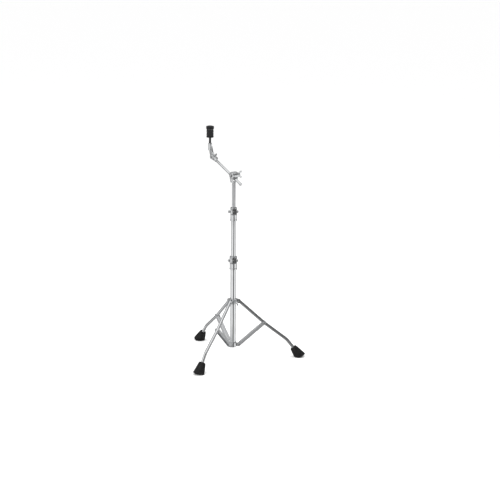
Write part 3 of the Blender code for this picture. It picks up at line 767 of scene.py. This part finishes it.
class STAND_OT_clamps(Operator):
    """Make the two height clamps, their bushes and pinch bolts"""

    bl_idname = "stand.clamps"
    bl_label = "Height Clamps"

    head = 0.036
    width = 0.034

    def execute(self, context):
        for level, tube_node in (("lower", "base_tube"), ("upper", "middle_tube")):
            self.make_clamp(level, tube_node)
            self.make_bush(level)
            self.make_bolt(level)
        return {"FINISHED"}

    def make_clamp(self, level, tube_node):
        node = f"{level}_clamp"
        low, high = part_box(node)
        outer = (high.x - low.x) / 2
        bore = radius_of(tube_node) + GAP
        bottom, top = low.z, high.z
        split = top - self.head
        edge = sizes().edge
        waist = outer - 0.0010
        corners = [(outer, top), (outer, split + 0.0010), (waist, split - 0.0006), (waist, bottom + 0.0080),
                   (outer, bottom + 0.0062), (outer, bottom), (bore, bottom), (bore, top)]
        body = turned(node, softened(corners, edge, 3, closed=True), sizes().tube_sides, closed=True)
        depth = COLUMN_AT.y - low.y - outer + 0.0045
        bolt_at = self.bolt_place(level)
        size = (self.width, depth, self.head - 0.004)
        ears = moved(block("ears", size, 0.0034), Matrix.Translation(bolt_at))
        front = low.y - COLUMN_AT.y
        facing = (-math.sin(KNUCKLE_TURN), -math.cos(KNUCKLE_TURN), 0)
        knuckle_at = at(Vector((0.0082, front + 0.0014, bolt_at.z)), facing)
        knuckle = moved(bar("knuckle", 0.0100, -0.010, 0, 56, 0.0026), knuckle_at)
        joined(body, ears, knuckle)
        core = bar("core", bore, bottom - 0.01, top + 0.01, sizes().tube_sides, 0)
        slit_height = self.head + 0.01
        slit = moved(block("slit", (0.0026, 0.05, slit_height), 0.0004, 1),
                     Matrix.Translation((0, -0.025, split + slit_height / 2)))
        hole = moved(bar("hole", 0.0033, -0.03, 0.03, 32, 0), at(bolt_at, ALONG_X))
        drilled(body, core, slit, hole)
        fit(body, COLUMN, "zinc", node)

    def bolt_place(self, level):
        place = pivot(f"{level}_wing_turn")
        return Vector((0, place.y - COLUMN_AT.y, place.z))

    def make_bush(self, level):
        node = f"{level}_clamp_bush"
        bore = {"lower": radius_of("middle_tube"), "upper": radius_of("top_tube")}[level] + GAP
        bush = tube(node, bore, radius_of(node), bottom_of(node), top_of(node), sizes().tube_sides, 0.0003)
        fit(bush, COLUMN, "nylon", node)

    def make_bolt(self, level):
        node = f"{level}_clamp_bolt"
        low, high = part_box(node)
        tail, head = low.x - COLUMN_AT.x, high.x - COLUMN_AT.x
        shoulder = head - 0.0065
        thread = threaded(0.0030, tail, -0.0175, 0.0008)
        corners = [(0, head - 0.0012), (0.0018, head - 0.0012), (0.0026, head), (0.0050, head),
                   (0.0065, head - 0.0022), (0.0065, shoulder), (0.0030, shoulder)]
        profile = softened(corners, 0.0005) + thread + [(0, tail)]
        bolt = turned(node, profile, sizes().small_sides)
        fit(bolt, COLUMN @ at(self.bolt_place(level), ALONG_X), "steel", node)


def threaded(radius, bottom, top, pitch):
    """Outline of a thread as rings, running down from top to bottom."""
    count = max(1, int((top - bottom) / pitch))
    step = (top - bottom) / count
    points = []
    for i in range(count):
        high = top - i * step
        points += [(radius, high), (radius - pitch * 0.38, high - step * 0.5)]
    points.append((radius - 0.0003, bottom))
    return points


# ---------------------------------------------------------------- tripod
class STAND_OT_bottom_collar(Operator):
    """Make the collar at the foot of the column, with an ear for each brace"""

    bl_idname = "stand.bottom_collar"
    bl_label = "Bottom Collar"

    def execute(self, context):
        node = "bottom_collar"
        bottom, top = bottom_of(node), top_of(node)
        outer, bore = 0.0190, radius_of("base_tube") + GAP
        floor = bottom_of("base_tube") - GAP
        dished = bottom + 0.0012
        corners = [(0, floor), (bore, floor), (bore, top), (outer - 0.0008, top),
                   (outer, top - 0.003), (outer, bottom + 0.004), (outer - 0.003, bottom),
                   (0.010, bottom), (0.008, dished), (0, dished)]
        hub = turned(node, softened(corners, 0.0012, 3), sizes().tube_sides)
        ears, holes = [], []
        for number in LEGS:
            turn = COLUMN.inverted() @ spoke(number)
            tip = arc((LOWER_PIN.x, LOWER_PIN.z), 0.0075, -90, 90, 16)
            inside = bore + 0.0018
            outline = tip + [(inside, LOWER_PIN.z + 0.0075), (inside, LOWER_PIN.z - 0.0075)]
            ears.append(moved(plate("ear", outline, EAR_THICKNESS, 0.0007), turn))
            holes.append(moved(bar("hole", 0.0034, -0.012, 0.012, 32, 0), turn @ at(LOWER_PIN, ALONG_Y)))
        joined(hub, *ears)
        drilled(hub, *holes)
        fit(hub, COLUMN, "zinc", node)
        return {"FINISHED"}


class STAND_OT_tripod_collar(Operator):
    """Make the sliding collar, its nylon insert and its wing bolt"""

    bl_idname = "stand.tripod_collar"
    bl_label = "Tripod Collar"

    def execute(self, context):
        self.make_collar()
        node = "collar_insert"
        insert = tube(node, radius_of("base_tube") + GAP, radius_of(node), bottom_of(node), top_of(node),
                      sizes().tube_sides, 0.0003)
        fit(insert, COLUMN, "nylon", node)
        self.make_wing_bolt()
        return {"FINISHED"}

    def make_collar(self):
        node = "tripod_collar"
        bottom, top = bottom_of(node), top_of(node)
        outer, bore = 0.0190, radius_of("collar_insert") + GAP
        corners = [(outer, top), (outer, bottom), (bore, bottom), (bore, top)]
        hub = turned(node, softened(corners, 0.0010, 3, closed=True), sizes().tube_sides, closed=True)
        ears, holes = [], []
        offset = CHANNEL_INSIDE / 2 + CLEVIS_WALL / 2
        for number in LEGS:
            turn = COLUMN.inverted() @ spoke(number)
            tip = arc((UPPER_PIN.x, UPPER_PIN.z), 0.0078, -75, 75, 16)
            outline = tip + [(0.0125, top - 0.002), (0.0125, bottom + 0.002)]
            for side in (-1, 1):
                ear_at = turn @ at(ALONG_Y * side * offset)
                ears.append(moved(plate("ear", outline, CLEVIS_WALL, 0.0008), ear_at))
            holes.append(moved(bar("hole", 0.0034, -0.014, 0.014, 32, 0), turn @ at(UPPER_PIN, ALONG_Y)))
        boss_way = pivot_axis("tripod_wing_turn")
        boss_at = at(UP * UPPER_PIN.z, boss_way)
        ears.append(moved(bar("boss", 0.0075, bore + 0.0012, 0.0265, 48, 0.0009), boss_at))
        joined(hub, *ears)
        core = bar("core", bore, bottom - 0.01, top + 0.01, sizes().tube_sides, 0)
        holes.append(moved(bar("hole", 0.0034, 0, 0.03, 32, 0), boss_at))
        drilled(hub, core, *holes)
        fit(hub, COLUMN, "zinc", node)

    def make_wing_bolt(self):
        node = "tripod_wing_bolt"
        place = at(pivot("tripod_wing_turn"), pivot_axis("tripod_wing_turn"))
        length = 0.0265 - radius_of("collar_insert") - GAP - 0.0001
        body = wing_body(node, 0.0068, 0.0090, 0.038, 0.0165, math.radians(140))
        shank = turned("shank", [(0, 0.002), (0.003, 0.002)] + threaded(0.003, -length, -0.0004, 0.0008)
                       + [(0, -length)], 32)
        joined(body, shank)
        fit(body, place, "zinc", node)


class STAND_OT_braces(Operator):
    """Make the folded channel braces"""

    bl_idname = "stand.braces"
    bl_label = "Braces"

    def execute(self, context):
        for number in LEGS:
            node = f"brace_{number}"
            place = spoke(number)
            along = (KNEE - LOWER_PIN).normalized()
            z = along.cross(ALONG_Y)
            turn = Matrix((along, ALONG_Y, z)).transposed().to_4x4()
            matrix = place @ Matrix.Translation(LOWER_PIN) @ turn
            fit(self.make_channel(node), matrix, "satin", node)
        return {"FINISHED"}

    def make_channel(self, name):
        """A sheet bent to a channel: walls with round ends, a web cut short of both pins."""
        length = (KNEE - LOWER_PIN).length
        half = CHANNEL_INSIDE / 2 + CHANNEL_WALL
        bend = 0.0030
        middle, reach = (CHANNEL_WEB - CHANNEL_LIP) / 2, (CHANNEL_WEB + CHANNEL_LIP) / 2
        section = [(-half, -CHANNEL_LIP + reach * 2 * i / 12) for i in range(10)]
        section = [(y, z) for y, z in section if z < CHANNEL_WEB - bend]
        section += [(y - half + bend, z + CHANNEL_WEB - bend) for y, z in arc((0, 0), bend, 180, 90, 6)]
        flat = [(-half + bend + (half - bend) * i / 3, CHANNEL_WEB) for i in range(1, 4)]
        left = section + flat
        whole = left + [(-y, z) for y, z in reversed(left[:-1])]
        shape = bmesh.new()
        rows = []
        columns = 48
        for y, z in whole:
            round_end = math.sqrt(max(reach ** 2 - (z - middle) ** 2, 0))
            on_web = max(0.0, min(1.0, (half - abs(y)) / (bend * 0.12))) if z > CHANNEL_WEB - bend else 0.0
            ease = on_web * on_web * (3 - 2 * on_web)
            start = -round_end * (1 - ease) + 0.010 * ease
            stop = length + round_end * (1 - ease) - 0.016 * ease
            step = (stop - start) / columns
            rows.append([shape.verts.new((start + step * i, y, z)) for i in range(columns + 1)])
        for lower, upper in zip(rows, rows[1:]):
            for i in range(columns):
                shape.faces.new((lower[i], lower[i + 1], upper[i + 1], upper[i]))
        sheet = new_mesh(name, shape)
        wall = sheet.modifiers.new("wall", "SOLIDIFY")
        wall.thickness = CHANNEL_WALL
        wall.offset = -1
        return sheet


class STAND_OT_legs(Operator):
    """Make the bent tube legs"""

    bl_idname = "stand.legs"
    bl_label = "Legs"

    def execute(self, context):
        tail = (FOOT_TOP - LEG_BEND).normalized()
        top = UPPER_PIN + (UPPER_PIN - KNEE).normalized() * 0.007
        corners = [top, KNEE, LEG_BEND, FOOT_TOP + tail * FOOT_DEPTH]
        path = [point - KNEE for point in rounded_path(corners, (0.30, 0.12), 12)]
        path.insert(1, path[0].lerp(path[1], 0.01))
        path.insert(-1, path[-1].lerp(path[-2], 0.02))
        for number in LEGS:
            node = f"leg_{number}"
            leg = sweep(node, path, LEG_RADIUS, 48)
            wall = leg.modifiers.new("wall", "SOLIDIFY")
            wall.thickness = LEG_WALL
            wall.offset = -1
            matrix = spoke(number) @ Matrix.Translation(KNEE)
            fit(leg, matrix, "chrome", node)
        return {"FINISHED"}


class STAND_OT_feet(Operator):
    """Make the rubber feet: cones square to the leg above, with a tilted dome of a sole"""

    bl_idname = "stand.feet"
    bl_label = "Feet"

    sides = 72

    def execute(self, context):
        tail = (FOOT_TOP - LEG_BEND).normalized()
        rings = self.side_rings(tail) + self.sole_rings()
        for number in LEGS:
            node = f"foot_{number}"
            foot = loft(node, rings, bottom=0.0)
            bore = bar("bore", LEG_RADIUS + GAP, -0.03, FOOT_DEPTH + GAP, 48, 0)
            drilled(foot, moved(bore, at(FOOT_TOP, tail)))
            fit(moved(foot, COLUMN.inverted() @ spoke(number)), COLUMN, "rubber", node)
        return {"FINISHED"}

    def ring(self, middle, across, radius):
        return ring_points(middle, across, radius, self.sides)

    def side_rings(self, tail):
        """From the top edge down the cone, turning from the leg's slope to the sole's."""
        above, below = tail.cross(ALONG_Y), self.sole_way()
        turn = above.rotation_difference(below)
        lip = 0.0012
        rings = [self.ring(FOOT_TOP, above, FOOT_TOP_RADIUS - share * lip) for share in (6, 1.6, 0.5)]
        rings.append(self.ring(FOOT_TOP + tail * lip * 0.35, above, FOOT_TOP_RADIUS - lip * 0.12))
        rings.append(self.ring(FOOT_TOP + tail * lip, above, FOOT_TOP_RADIUS + lip * 0.1))
        steps = 44
        for step in range(2, steps):
            t = step / steps
            across = Quaternion().slerp(turn, t) @ above
            radius = FOOT_TOP_RADIUS * (1 - t) + FOOT_SOLE_RADIUS * t - self.groove(t)
            rings.append(self.ring(FOOT_TOP.lerp(FOOT_SOLE, t), across, radius))
        return rings

    def groove(self, t):
        """Depth of the shallow grooves moulded round the cone's lower part."""
        middles = [0.60 + 0.12 * i for i in range(sizes().foot_grooves)]
        return sum(0.0007 * math.exp(-((t - middle) / 0.016) ** 2) for middle in middles)

    def sole_way(self):
        return Vector((math.cos(SOLE_TILT), 0, math.sin(SOLE_TILT)))

    def sole_rings(self):
        """Round the rim, then in over the dome."""
        across = self.sole_way()
        down = Vector((across.z, 0, -across.x))
        edge = 0.0022
        rings = []
        for share in (0.0, 0.3, 0.7, 1.0):
            reach = FOOT_SOLE_RADIUS - edge * (1 - math.cos(share * math.pi / 3))
            rings.append(self.ring(FOOT_SOLE + down * edge * share * 0.7, across, reach))
        for share in (0.85, 0.7, 0.5, 0.3, 0.12):
            middle = FOOT_SOLE + down * SOLE_DOME * (1 - share ** 2)
            rings.append(self.ring(middle, across, FOOT_SOLE_RADIUS * share))
        return rings


class STAND_OT_pins(Operator):
    """Make the tripod's riveted pins"""

    bl_idname = "stand.pins"
    bl_label = "Tripod Pins"

    def execute(self, context):
        channel = CHANNEL_INSIDE / 2 + CHANNEL_WALL
        clevis = CHANNEL_INSIDE / 2 + CLEVIS_WALL
        for number in LEGS:
            for name, place, grip in (("lower_pin", LOWER_PIN, channel), ("knee_pin", KNEE, channel),
                                      ("upper_pin", UPPER_PIN, clevis)):
                node = f"{name}_{number}"
                rivet = self.make_rivet(node, grip + GAP)
                fit(rivet, spoke(number) @ at(place, ALONG_Y), "steel", node)
        return {"FINISHED"}

    def make_rivet(self, name, shoulder):
        """Domed head at one end, a peened one with a dimple at the other."""
        dome = [(PIN_HEAD * math.sin(a), shoulder + 0.0018 * math.cos(a))
                for a in (math.radians(15 * i) for i in range(7))]
        peened = [(PIN_HEAD * share, -shoulder - rise) for share, rise in (
            (1, 0), (0.92, 0.0012), (0.6, 0.0018), (0.35, 0.0018), (0.28, 0.0010), (0, 0.0009))]
        shank = [(0.003, shoulder), (0.003, -shoulder)]
        return turned(name, dome + shank + peened, sizes().small_sides)


# ---------------------------------------------------------------- wing nuts
def wing_body(name, hub_radius, hub_length, span, reach, roll, thickness=None):
    """Hub and two swept wings: Z is the axis, pointing outwards, and roll turns the wings about it."""
    thick = thickness or sizes().wing_thickness
    corners = [(0, hub_length), (hub_radius * 0.72, hub_length), (hub_radius, hub_length * 0.72),
               (hub_radius, 0.0008), (hub_radius * 0.94, 0), (0, 0)]
    hub = turned(name, softened(corners, 0.0012, 4), sizes().small_sides)
    lobe = span * 0.15
    middle = (span / 2 - lobe, reach - lobe)
    right = arc(middle, lobe, -65, 115, 14)
    root = [(-hub_radius * 0.8, hub_length * 0.2), (hub_radius * 0.8, hub_length * 0.2)]
    dip = [(hub_radius * 0.35 * side, hub_length * (0.93 if side else 0.90)) for side in (1, 0, -1)]
    left = [(-x, z) for x, z in reversed(right)]
    wings = plate("wings", right + dip + left + root, thick, thick * 0.36, 3)
    return joined(hub, moved(wings, at(roll=roll)))


class STAND_OT_wing_nuts(Operator):
    """Make the wing nuts of the clamps, the boom and the tilter"""

    bl_idname = "stand.wing_nuts"
    bl_label = "Wing Nuts"

    def execute(self, context):
        clamp = (0.0072, 0.0100, 0.036, 0.0125, math.radians(90), 0.0032)
        boom = (0.0088, 0.0160, 0.038, 0.0300, math.radians(90), 0.0036)
        cymbal = (0.0068, 0.0110, 0.030, 0.0190, math.radians(65), 0.0032)
        rows = (("lower_clamp_wing_nut", "lower_wing_turn", clamp, 0.0033),
                ("upper_clamp_wing_nut", "upper_wing_turn", clamp, 0.0033),
                ("boom_wing_nut", "boom_wing_turn", boom, 0.0034),
                ("cymbal_wing_nut", "cymbal_wing_turn", cymbal, 0.0028))
        for node, joint, shape, bore in rows:
            nut = wing_body(node, *shape)
            drilled(nut, bar("bore", bore, -0.01, 0.05, 32, 0))
            fit(nut, self.place(joint), "zinc", node)
        return {"FINISHED"}

    def place(self, joint):
        """The same turn about the axis that the CAD nut has: measured in the parent's upright frame."""
        frames = {"lower_wing_turn": COLUMN, "upper_wing_turn": COLUMN, "boom_wing_turn": BOOM_HEAD,
                  "cymbal_wing_turn": TILTER}
        base = frames[joint]
        inside = base.to_3x3().inverted() @ pivot_axis(joint)
        return Matrix.Translation(pivot(joint)) @ (base.to_3x3().to_4x4() @ at(axis=inside))


# ---------------------------------------------------------------- boom
class STAND_OT_boom_head(Operator):
    """Make the fork, rotor, rod bush, tilt bolt and washer"""

    bl_idname = "stand.boom_head"
    bl_label = "Boom Head"

    half = 0.0100
    wall = 0.0067
    drop = 0.030

    def execute(self, context):
        self.make_fork()
        self.make_rotor()
        self.make_fasteners()
        return {"FINISHED"}

    def make_fork(self):
        node = "boom_fork"
        inner = self.half + GAP
        bridge = moved(block(node, (0.012, 2 * (inner + self.wall), 0.006), 0.0012),
                       Matrix.Translation((0, 0, -self.drop - 0.003)))
        tools = []
        for side in (-1, 1):
            middle = ALONG_Y * side * (inner + self.wall / 2)
            lug = bar("lug", 0.0170, -self.wall / 2, self.wall / 2, 80, 0.0012)
            tools.append(moved(lug, at(middle, ALONG_Y)))
            outline = [(0.0145, -0.008), (-0.0145, -0.008), (-0.006, -self.drop - 0.0055),
                       (0.006, -self.drop - 0.0055)]
            tools.append(moved(plate("cheek", outline, self.wall - 0.0006, 0.0008), at(middle)))
        neck_top = pivot("boom_tilt").z - self.drop
        shoulder = top_of("top_tube") + GAP
        stub = radius_of("top_tube") - 0.0015
        corners = [(0, neck_top - 0.003), (0.0085, neck_top - 0.003), (0.0100, shoulder + 0.003),
                   (0.0100, shoulder), (stub, shoulder), (stub, shoulder - 0.022), (0, shoulder - 0.022)]
        neck = turned("neck", softened(corners, 0.0006), 64)
        tools.append(moved(neck, BOOM_HEAD.inverted() @ COLUMN))
        joined(bridge, *tools)
        drilled(bridge, moved(bar("hole", 0.0034, -0.03, 0.03, 32, 0), at(axis=ALONG_Y)))
        fit(bridge, BOOM_HEAD, "zinc", node)

    def make_rotor(self):
        node = "boom_rotor"
        local = BOOM_HEAD.inverted() @ BOOM_LINE
        rim, groove = 0.0185, 0.0180
        corners = [(0, self.half), (rim, self.half), (rim, 0.0012), (groove, 0.0006), (groove, -0.0006),
                   (rim, -0.0012), (rim, -self.half), (0, -self.half)]
        disc = moved(turned(node, softened(corners, 0.0008), 80), at(axis=ALONG_Y))
        boss = moved(bar("boss", self.half - 0.0005, -0.016, 0.016, 56, 0.0008), local @ at(axis=ALONG_X))
        joined(disc, boss)
        bush = radius_of_rod_bush()
        drilled(disc, moved(bar("hole", 0.0034, -0.014, 0.014, 32, 0), at(axis=ALONG_Y)),
                moved(bar("bore", bush + GAP, -0.04, 0.04, 56, 0), local @ at(axis=ALONG_X)))
        fit(disc, BOOM_HEAD, "zinc", node)
        node = "boom_rod_bush"
        sleeve = tube(node, ROD_RADIUS + GAP, bush, -0.0165, 0.0165, 56, 0.0003)
        fit(sleeve, BOOM_LINE @ at(axis=ALONG_X), "nylon", node)

    def make_fasteners(self):
        face = self.half + GAP + self.wall + GAP
        node = "boom_tilt_bolt"
        corners = [(radius, face + rise) for radius, rise in (
            (0, 0.0050), (0.0024, 0.0050), (0.0032, 0.0062), (0.0058, 0.0062), (0.0078, 0.0040), (0.0078, 0),
            (0.003, 0))]
        profile = softened(corners, 0.0006) + threaded(0.003, -0.0350, -0.0176, 0.001) + [(0, -0.0350)]
        fit(turned(node, profile, sizes().small_sides), BOOM_HEAD @ at(axis=ALONG_Y), "steel", node)
        node = "boom_washer"
        washer = tube(node, 0.0034, 0.0090, face, face + 0.0016, 64, 0.0003)
        fit(washer, BOOM_HEAD @ at(axis=-ALONG_Y), "steel", node)


def radius_of_rod_bush():
    return ROD_RADIUS + GAP + 0.0011


class STAND_OT_boom_rod(Operator):
    """Make the boom rod and the thin plated cap on its tail"""

    bl_idname = "stand.boom_rod"
    bl_label = "Boom Rod"

    def execute(self, context):
        back = -ROD_TAIL
        rod = bar("boom_rod", ROD_RADIUS, back, ROD_TIP, 64, 0.0008)
        place = BOOM_LINE @ at(axis=ALONG_X)
        fit(rod, place, "chrome", "boom_rod")
        inside = ROD_RADIUS + GAP
        outside = inside + 0.0006
        rim = back + 0.008
        corners = [(0, back - GAP), (inside, back - GAP), (inside, rim), (outside, rim),
                   (outside, back - 0.0010), (outside - 0.0012, back - 0.0018), (0, back - 0.0018)]
        cap = turned("boom_end_cap", softened(corners, 0.0004), 56)
        fit(cap, place, "chrome", "boom_end_cap")
        return {"FINISHED"}


# ---------------------------------------------------------------- cymbal tilter and stack
class STAND_OT_tilter(Operator):
    """Make the two halves of the cymbal tilter, its bolt and washer"""

    bl_idname = "stand.tilter"
    bl_label = "Cymbal Tilter"

    thick = 0.0088

    def execute(self, context):
        self.make_lower()
        self.make_upper()
        self.make_fasteners()
        return {"FINISHED"}

    def make_lower(self):
        node = "cymbal_tilter_lower"
        offset = 0.0002 + self.thick / 2
        corners = [(radius, ROD_TIP + reach) for radius, reach in (
            (0, 0.0025), (0.0092, 0.0025), (0.0092, -0.017), (0.0086, -0.0184), (0.0086, -0.024), (0, -0.024))]
        socket = moved(turned(node, softened(corners, 0.0010), 64), at(axis=ALONG_X))
        disc = self.make_disc(Vector((PIVOT_REACH, offset, 0)))
        tongue = moved(block("tongue", (0.018, self.thick - 0.0004, 0.0176), 0.0012),
                       Matrix.Translation((PIVOT_REACH - 0.0125, offset, 0)))
        joined(socket, disc, tongue)
        drilled(socket, moved(bar("bore", ROD_RADIUS + GAP, -0.02, ROD_TIP + GAP, 56, 0), at(axis=ALONG_X)),
                moved(bar("hole", 0.0028, -0.03, 0.03, 32, 0), at(Vector((PIVOT_REACH, 0, 0)), ALONG_Y)))
        fit(socket, BOOM_LINE, "zinc", node)

    def make_disc(self, middle):
        """One of the two plates that clamp on each other."""
        return moved(bar("disc", 0.0120, -self.thick / 2, self.thick / 2, 64, 0.0009), at(middle, ALONG_Y))

    def make_upper(self):
        node = "cymbal_tilter_upper"
        offset = 0.0002 + self.thick / 2
        stem_at = ALONG_X * STEM_OFFSET
        corners = [(0, 0.0667), (0.0086, 0.0667), (0.0098, 0.0645), (0.0098, 0.0300), (0, 0.0300)]
        boss = moved(turned(node, softened(corners, 0.0009), 64), Matrix.Translation(stem_at))
        disc = self.make_disc(-ALONG_Y * offset)
        left, right = STEM_OFFSET - 0.0078, STEM_OFFSET + 0.0078
        arm = [(-0.0095, 0.0060), (-0.0070, -0.0105), (0.0030, -0.0126), (0.0130, -0.0105),
               (0.0270, 0.0110), (right, 0.0260), (right, 0.0520), (left, 0.0520), (0.0060, 0.0240)]
        web = moved(plate("arm", arm, self.thick - 0.0004, 0.0012, 3), at(-ALONG_Y * offset))
        joined(boss, disc, web)
        drilled(boss, moved(bar("hole", 0.0028, -0.012, 0.012, 32, 0), at(axis=ALONG_Y)),
                moved(bar("bore", 0.0043, 0.0420, 0.08, 40, 0), Matrix.Translation(stem_at)))
        fit(boss, TILTER, "zinc", node)

    def make_fasteners(self):
        face = 0.0002 + self.thick + GAP
        node = "cymbal_tilt_bolt"
        corners = [(radius, face + rise) for radius, rise in (
            (0, 0.0030), (0.0018, 0.0030), (0.0024, 0.0040), (0.0045, 0.0040), (0.0060, 0.0025), (0.0060, 0),
            (0.0025, 0))]
        profile = softened(corners, 0.0005) + threaded(0.0025, -0.0200, -0.0095, 0.0008) + [(0, -0.0200)]
        fit(turned(node, profile, sizes().small_sides), TILTER @ at(axis=ALONG_Y), "steel", node)
        node = "cymbal_washer"
        washer = tube(node, 0.0028, 0.0075, face, face + 0.0012, 56, 0.0003)
        fit(washer, TILTER @ at(axis=-ALONG_Y), "steel", node)


class STAND_OT_stack(Operator):
    """Make the cymbal rod, sleeve, felts, cup washer and quick-release cap"""

    bl_idname = "stand.stack"
    bl_label = "Cymbal Stack"

    # The felts' wander: turns round the disc and pitch up it.
    waves = ((9, 900), (23, -1700), (41, 2900))

    def execute(self, context):
        base = TILTER @ Matrix.Translation(ALONG_X * STEM_OFFSET)
        self.zero = base.translation.z
        self.make_rod(base)
        self.make_sleeve(base)
        for node in ("lower_felt", "upper_felt"):
            self.make_felt(node, base)
        node = "cup_washer"
        washer = tube(node, 0.0047, 0.0150, self.low(node), self.high(node), 64, 0.0003)
        fit(washer, base, "steel", node)
        self.make_cap(base)
        return {"FINISHED"}

    def low(self, node):
        return bottom_of(node) - self.zero

    def high(self, node):
        return top_of(node) - self.zero

    def make_rod(self, base):
        node = "cymbal_rod"
        top = self.high(node)
        thread = threaded(0.0040, self.high("upper_felt"), top - 0.0006, 0.00125)
        profile = [(0, top), (0.0034, top)] + thread + [(0.0040, self.low("cymbal_sleeve")),
                   (0.0040, self.low(node)), (0, self.low(node))]
        fit(turned(node, profile, sizes().small_sides), base, "chrome", node)

    def make_sleeve(self, base):
        node = "cymbal_sleeve"
        top, bottom = self.high(node), self.low(node)
        seat_top = self.low("lower_felt") - GAP
        seat = seat_top - 0.0091
        corners = [(0.0055, top), (0.0055, seat_top), (0.0175, seat_top), (0.0183, seat_top - 0.0012),
                   (0.0183, seat + 0.0014), (0.0169, seat), (0.0070, seat), (0.0055, seat - 0.0001),
                   (0.0055, bottom), (0.0043, bottom), (0.0043, top)]
        sleeve = turned(node, softened(corners, 0.0005, 3, closed=True), 72, closed=True)
        fit(sleeve, base, "plastic", node)

    def make_felt(self, node, base):
        """A pressed disc with a slightly bulging rim and a soft wandering surface."""
        bottom, top = self.low(node), self.high(node)
        fuzz = sizes().felt_fuzz
        outer, inner = radius_of(node) - fuzz, 0.0059 + fuzz
        rows = 10
        step = (top - bottom - 2 * fuzz) / rows
        side = [(outer - 0.0005 * abs(2 * i / rows - 1) ** 3, top - fuzz - step * i) for i in range(rows + 1)]
        across = [inner + (outer - inner) * i / 7 for i in range(8)]
        profile = softened(side + [(inner, bottom + fuzz), (inner, top - fuzz)], 0.0012, 3, closed=True)
        felt = turned(node, profile, 96, closed=True)
        for vertex in felt.data.vertices:
            x, y, z = vertex.co
            angle = math.atan2(y, x)
            wave = sum(math.sin(angle * turns + z * pitch) for turns, pitch in self.waves)
            out = Vector((x, y, 0)).normalized()
            vertex.co += out * wave / 3 * fuzz * 0.8
        fit(felt, base, "felt", node)

    def make_cap(self, base):
        node = "cymbal_cap"
        bottom, top = self.low(node), self.high(node)
        radius = radius_of(node)
        rim = radius - 0.0016
        bore = 0.0043
        inside = self.high("cymbal_rod") + 0.0010
        outside = [(reach, top - drop) for reach, drop in (
            (0, 0), (0.0080, 0), (0.0088, 0.0006), (0.0100, 0.0005), (rim, 0.0026), (radius, 0.0046),
            (radius, 0.0148), (rim, 0.0166))]
        corners = outside + [(rim, bottom), (bore, bottom), (bore, inside), (0, inside)]
        ribs = sizes().cap_ribs
        low, high = top - 0.0144, top - 0.0050

        def grip(angle, height):
            return 1 - 0.018 * (0.5 + 0.5 * math.cos(angle * ribs)) if low < height < high else 1.0

        profile = softened(corners, 0.0006, 3)
        dense = []
        for (r0, z0), (r1, z1) in zip(profile, profile[1:]):
            count = max(1, int(abs(z0 - z1) / 0.0012))
            dense += [(r0 + (r1 - r0) * i / count, z0 + (z1 - z0) * i / count) for i in range(count)]
        dense.append(profile[-1])
        fit(turned(node, dense, ribs * 8, wobble=grip), base, "plastic", node)


# ---------------------------------------------------------------- panel and registration
class STAND_PT_panel(Panel):
    """Sidebar panel with the stand's settings and builders"""

    bl_idname = "STAND_PT_panel"
    bl_label = "Boom Stand"
    bl_space_type = "VIEW_3D"
    bl_region_type = "UI"
    bl_category = "Boom Stand"

    def draw(self, context):
        layout = self.layout
        for group in (context.scene.stand_sizes, context.scene.stand_colours, context.scene.stand_studio):
            box = layout.box()
            for name in group.__annotations__:
                box.prop(group, name)
        for operator in OPERATORS:
            layout.operator(operator.bl_idname)


OPERATORS = (
    STAND_OT_stage, STAND_OT_tubes, STAND_OT_clamps, STAND_OT_bottom_collar, STAND_OT_tripod_collar,
    STAND_OT_braces, STAND_OT_legs, STAND_OT_feet, STAND_OT_pins, STAND_OT_wing_nuts, STAND_OT_boom_head,
    STAND_OT_boom_rod, STAND_OT_tilter, STAND_OT_stack)
CLASSES = (StandSizes, StandColours, StandStudio, *OPERATORS, STAND_PT_panel)
GROUPS = {"stand_sizes": StandSizes, "stand_colours": StandColours, "stand_studio": StandStudio}


def register():
    for item in CLASSES:
        bpy.utils.register_class(item)
    for name, group in GROUPS.items():
        setattr(bpy.types.Scene, name, PointerProperty(type=group))


def unregister():
    for name in GROUPS:
        delattr(bpy.types.Scene, name)
    for item in reversed(CLASSES):
        bpy.utils.unregister_class(item)


def main():
    register()
    for operator in OPERATORS:
        category, name = operator.bl_idname.split(".")
        getattr(getattr(bpy.ops, category), name)()


if __name__ == "__main__":
    main()
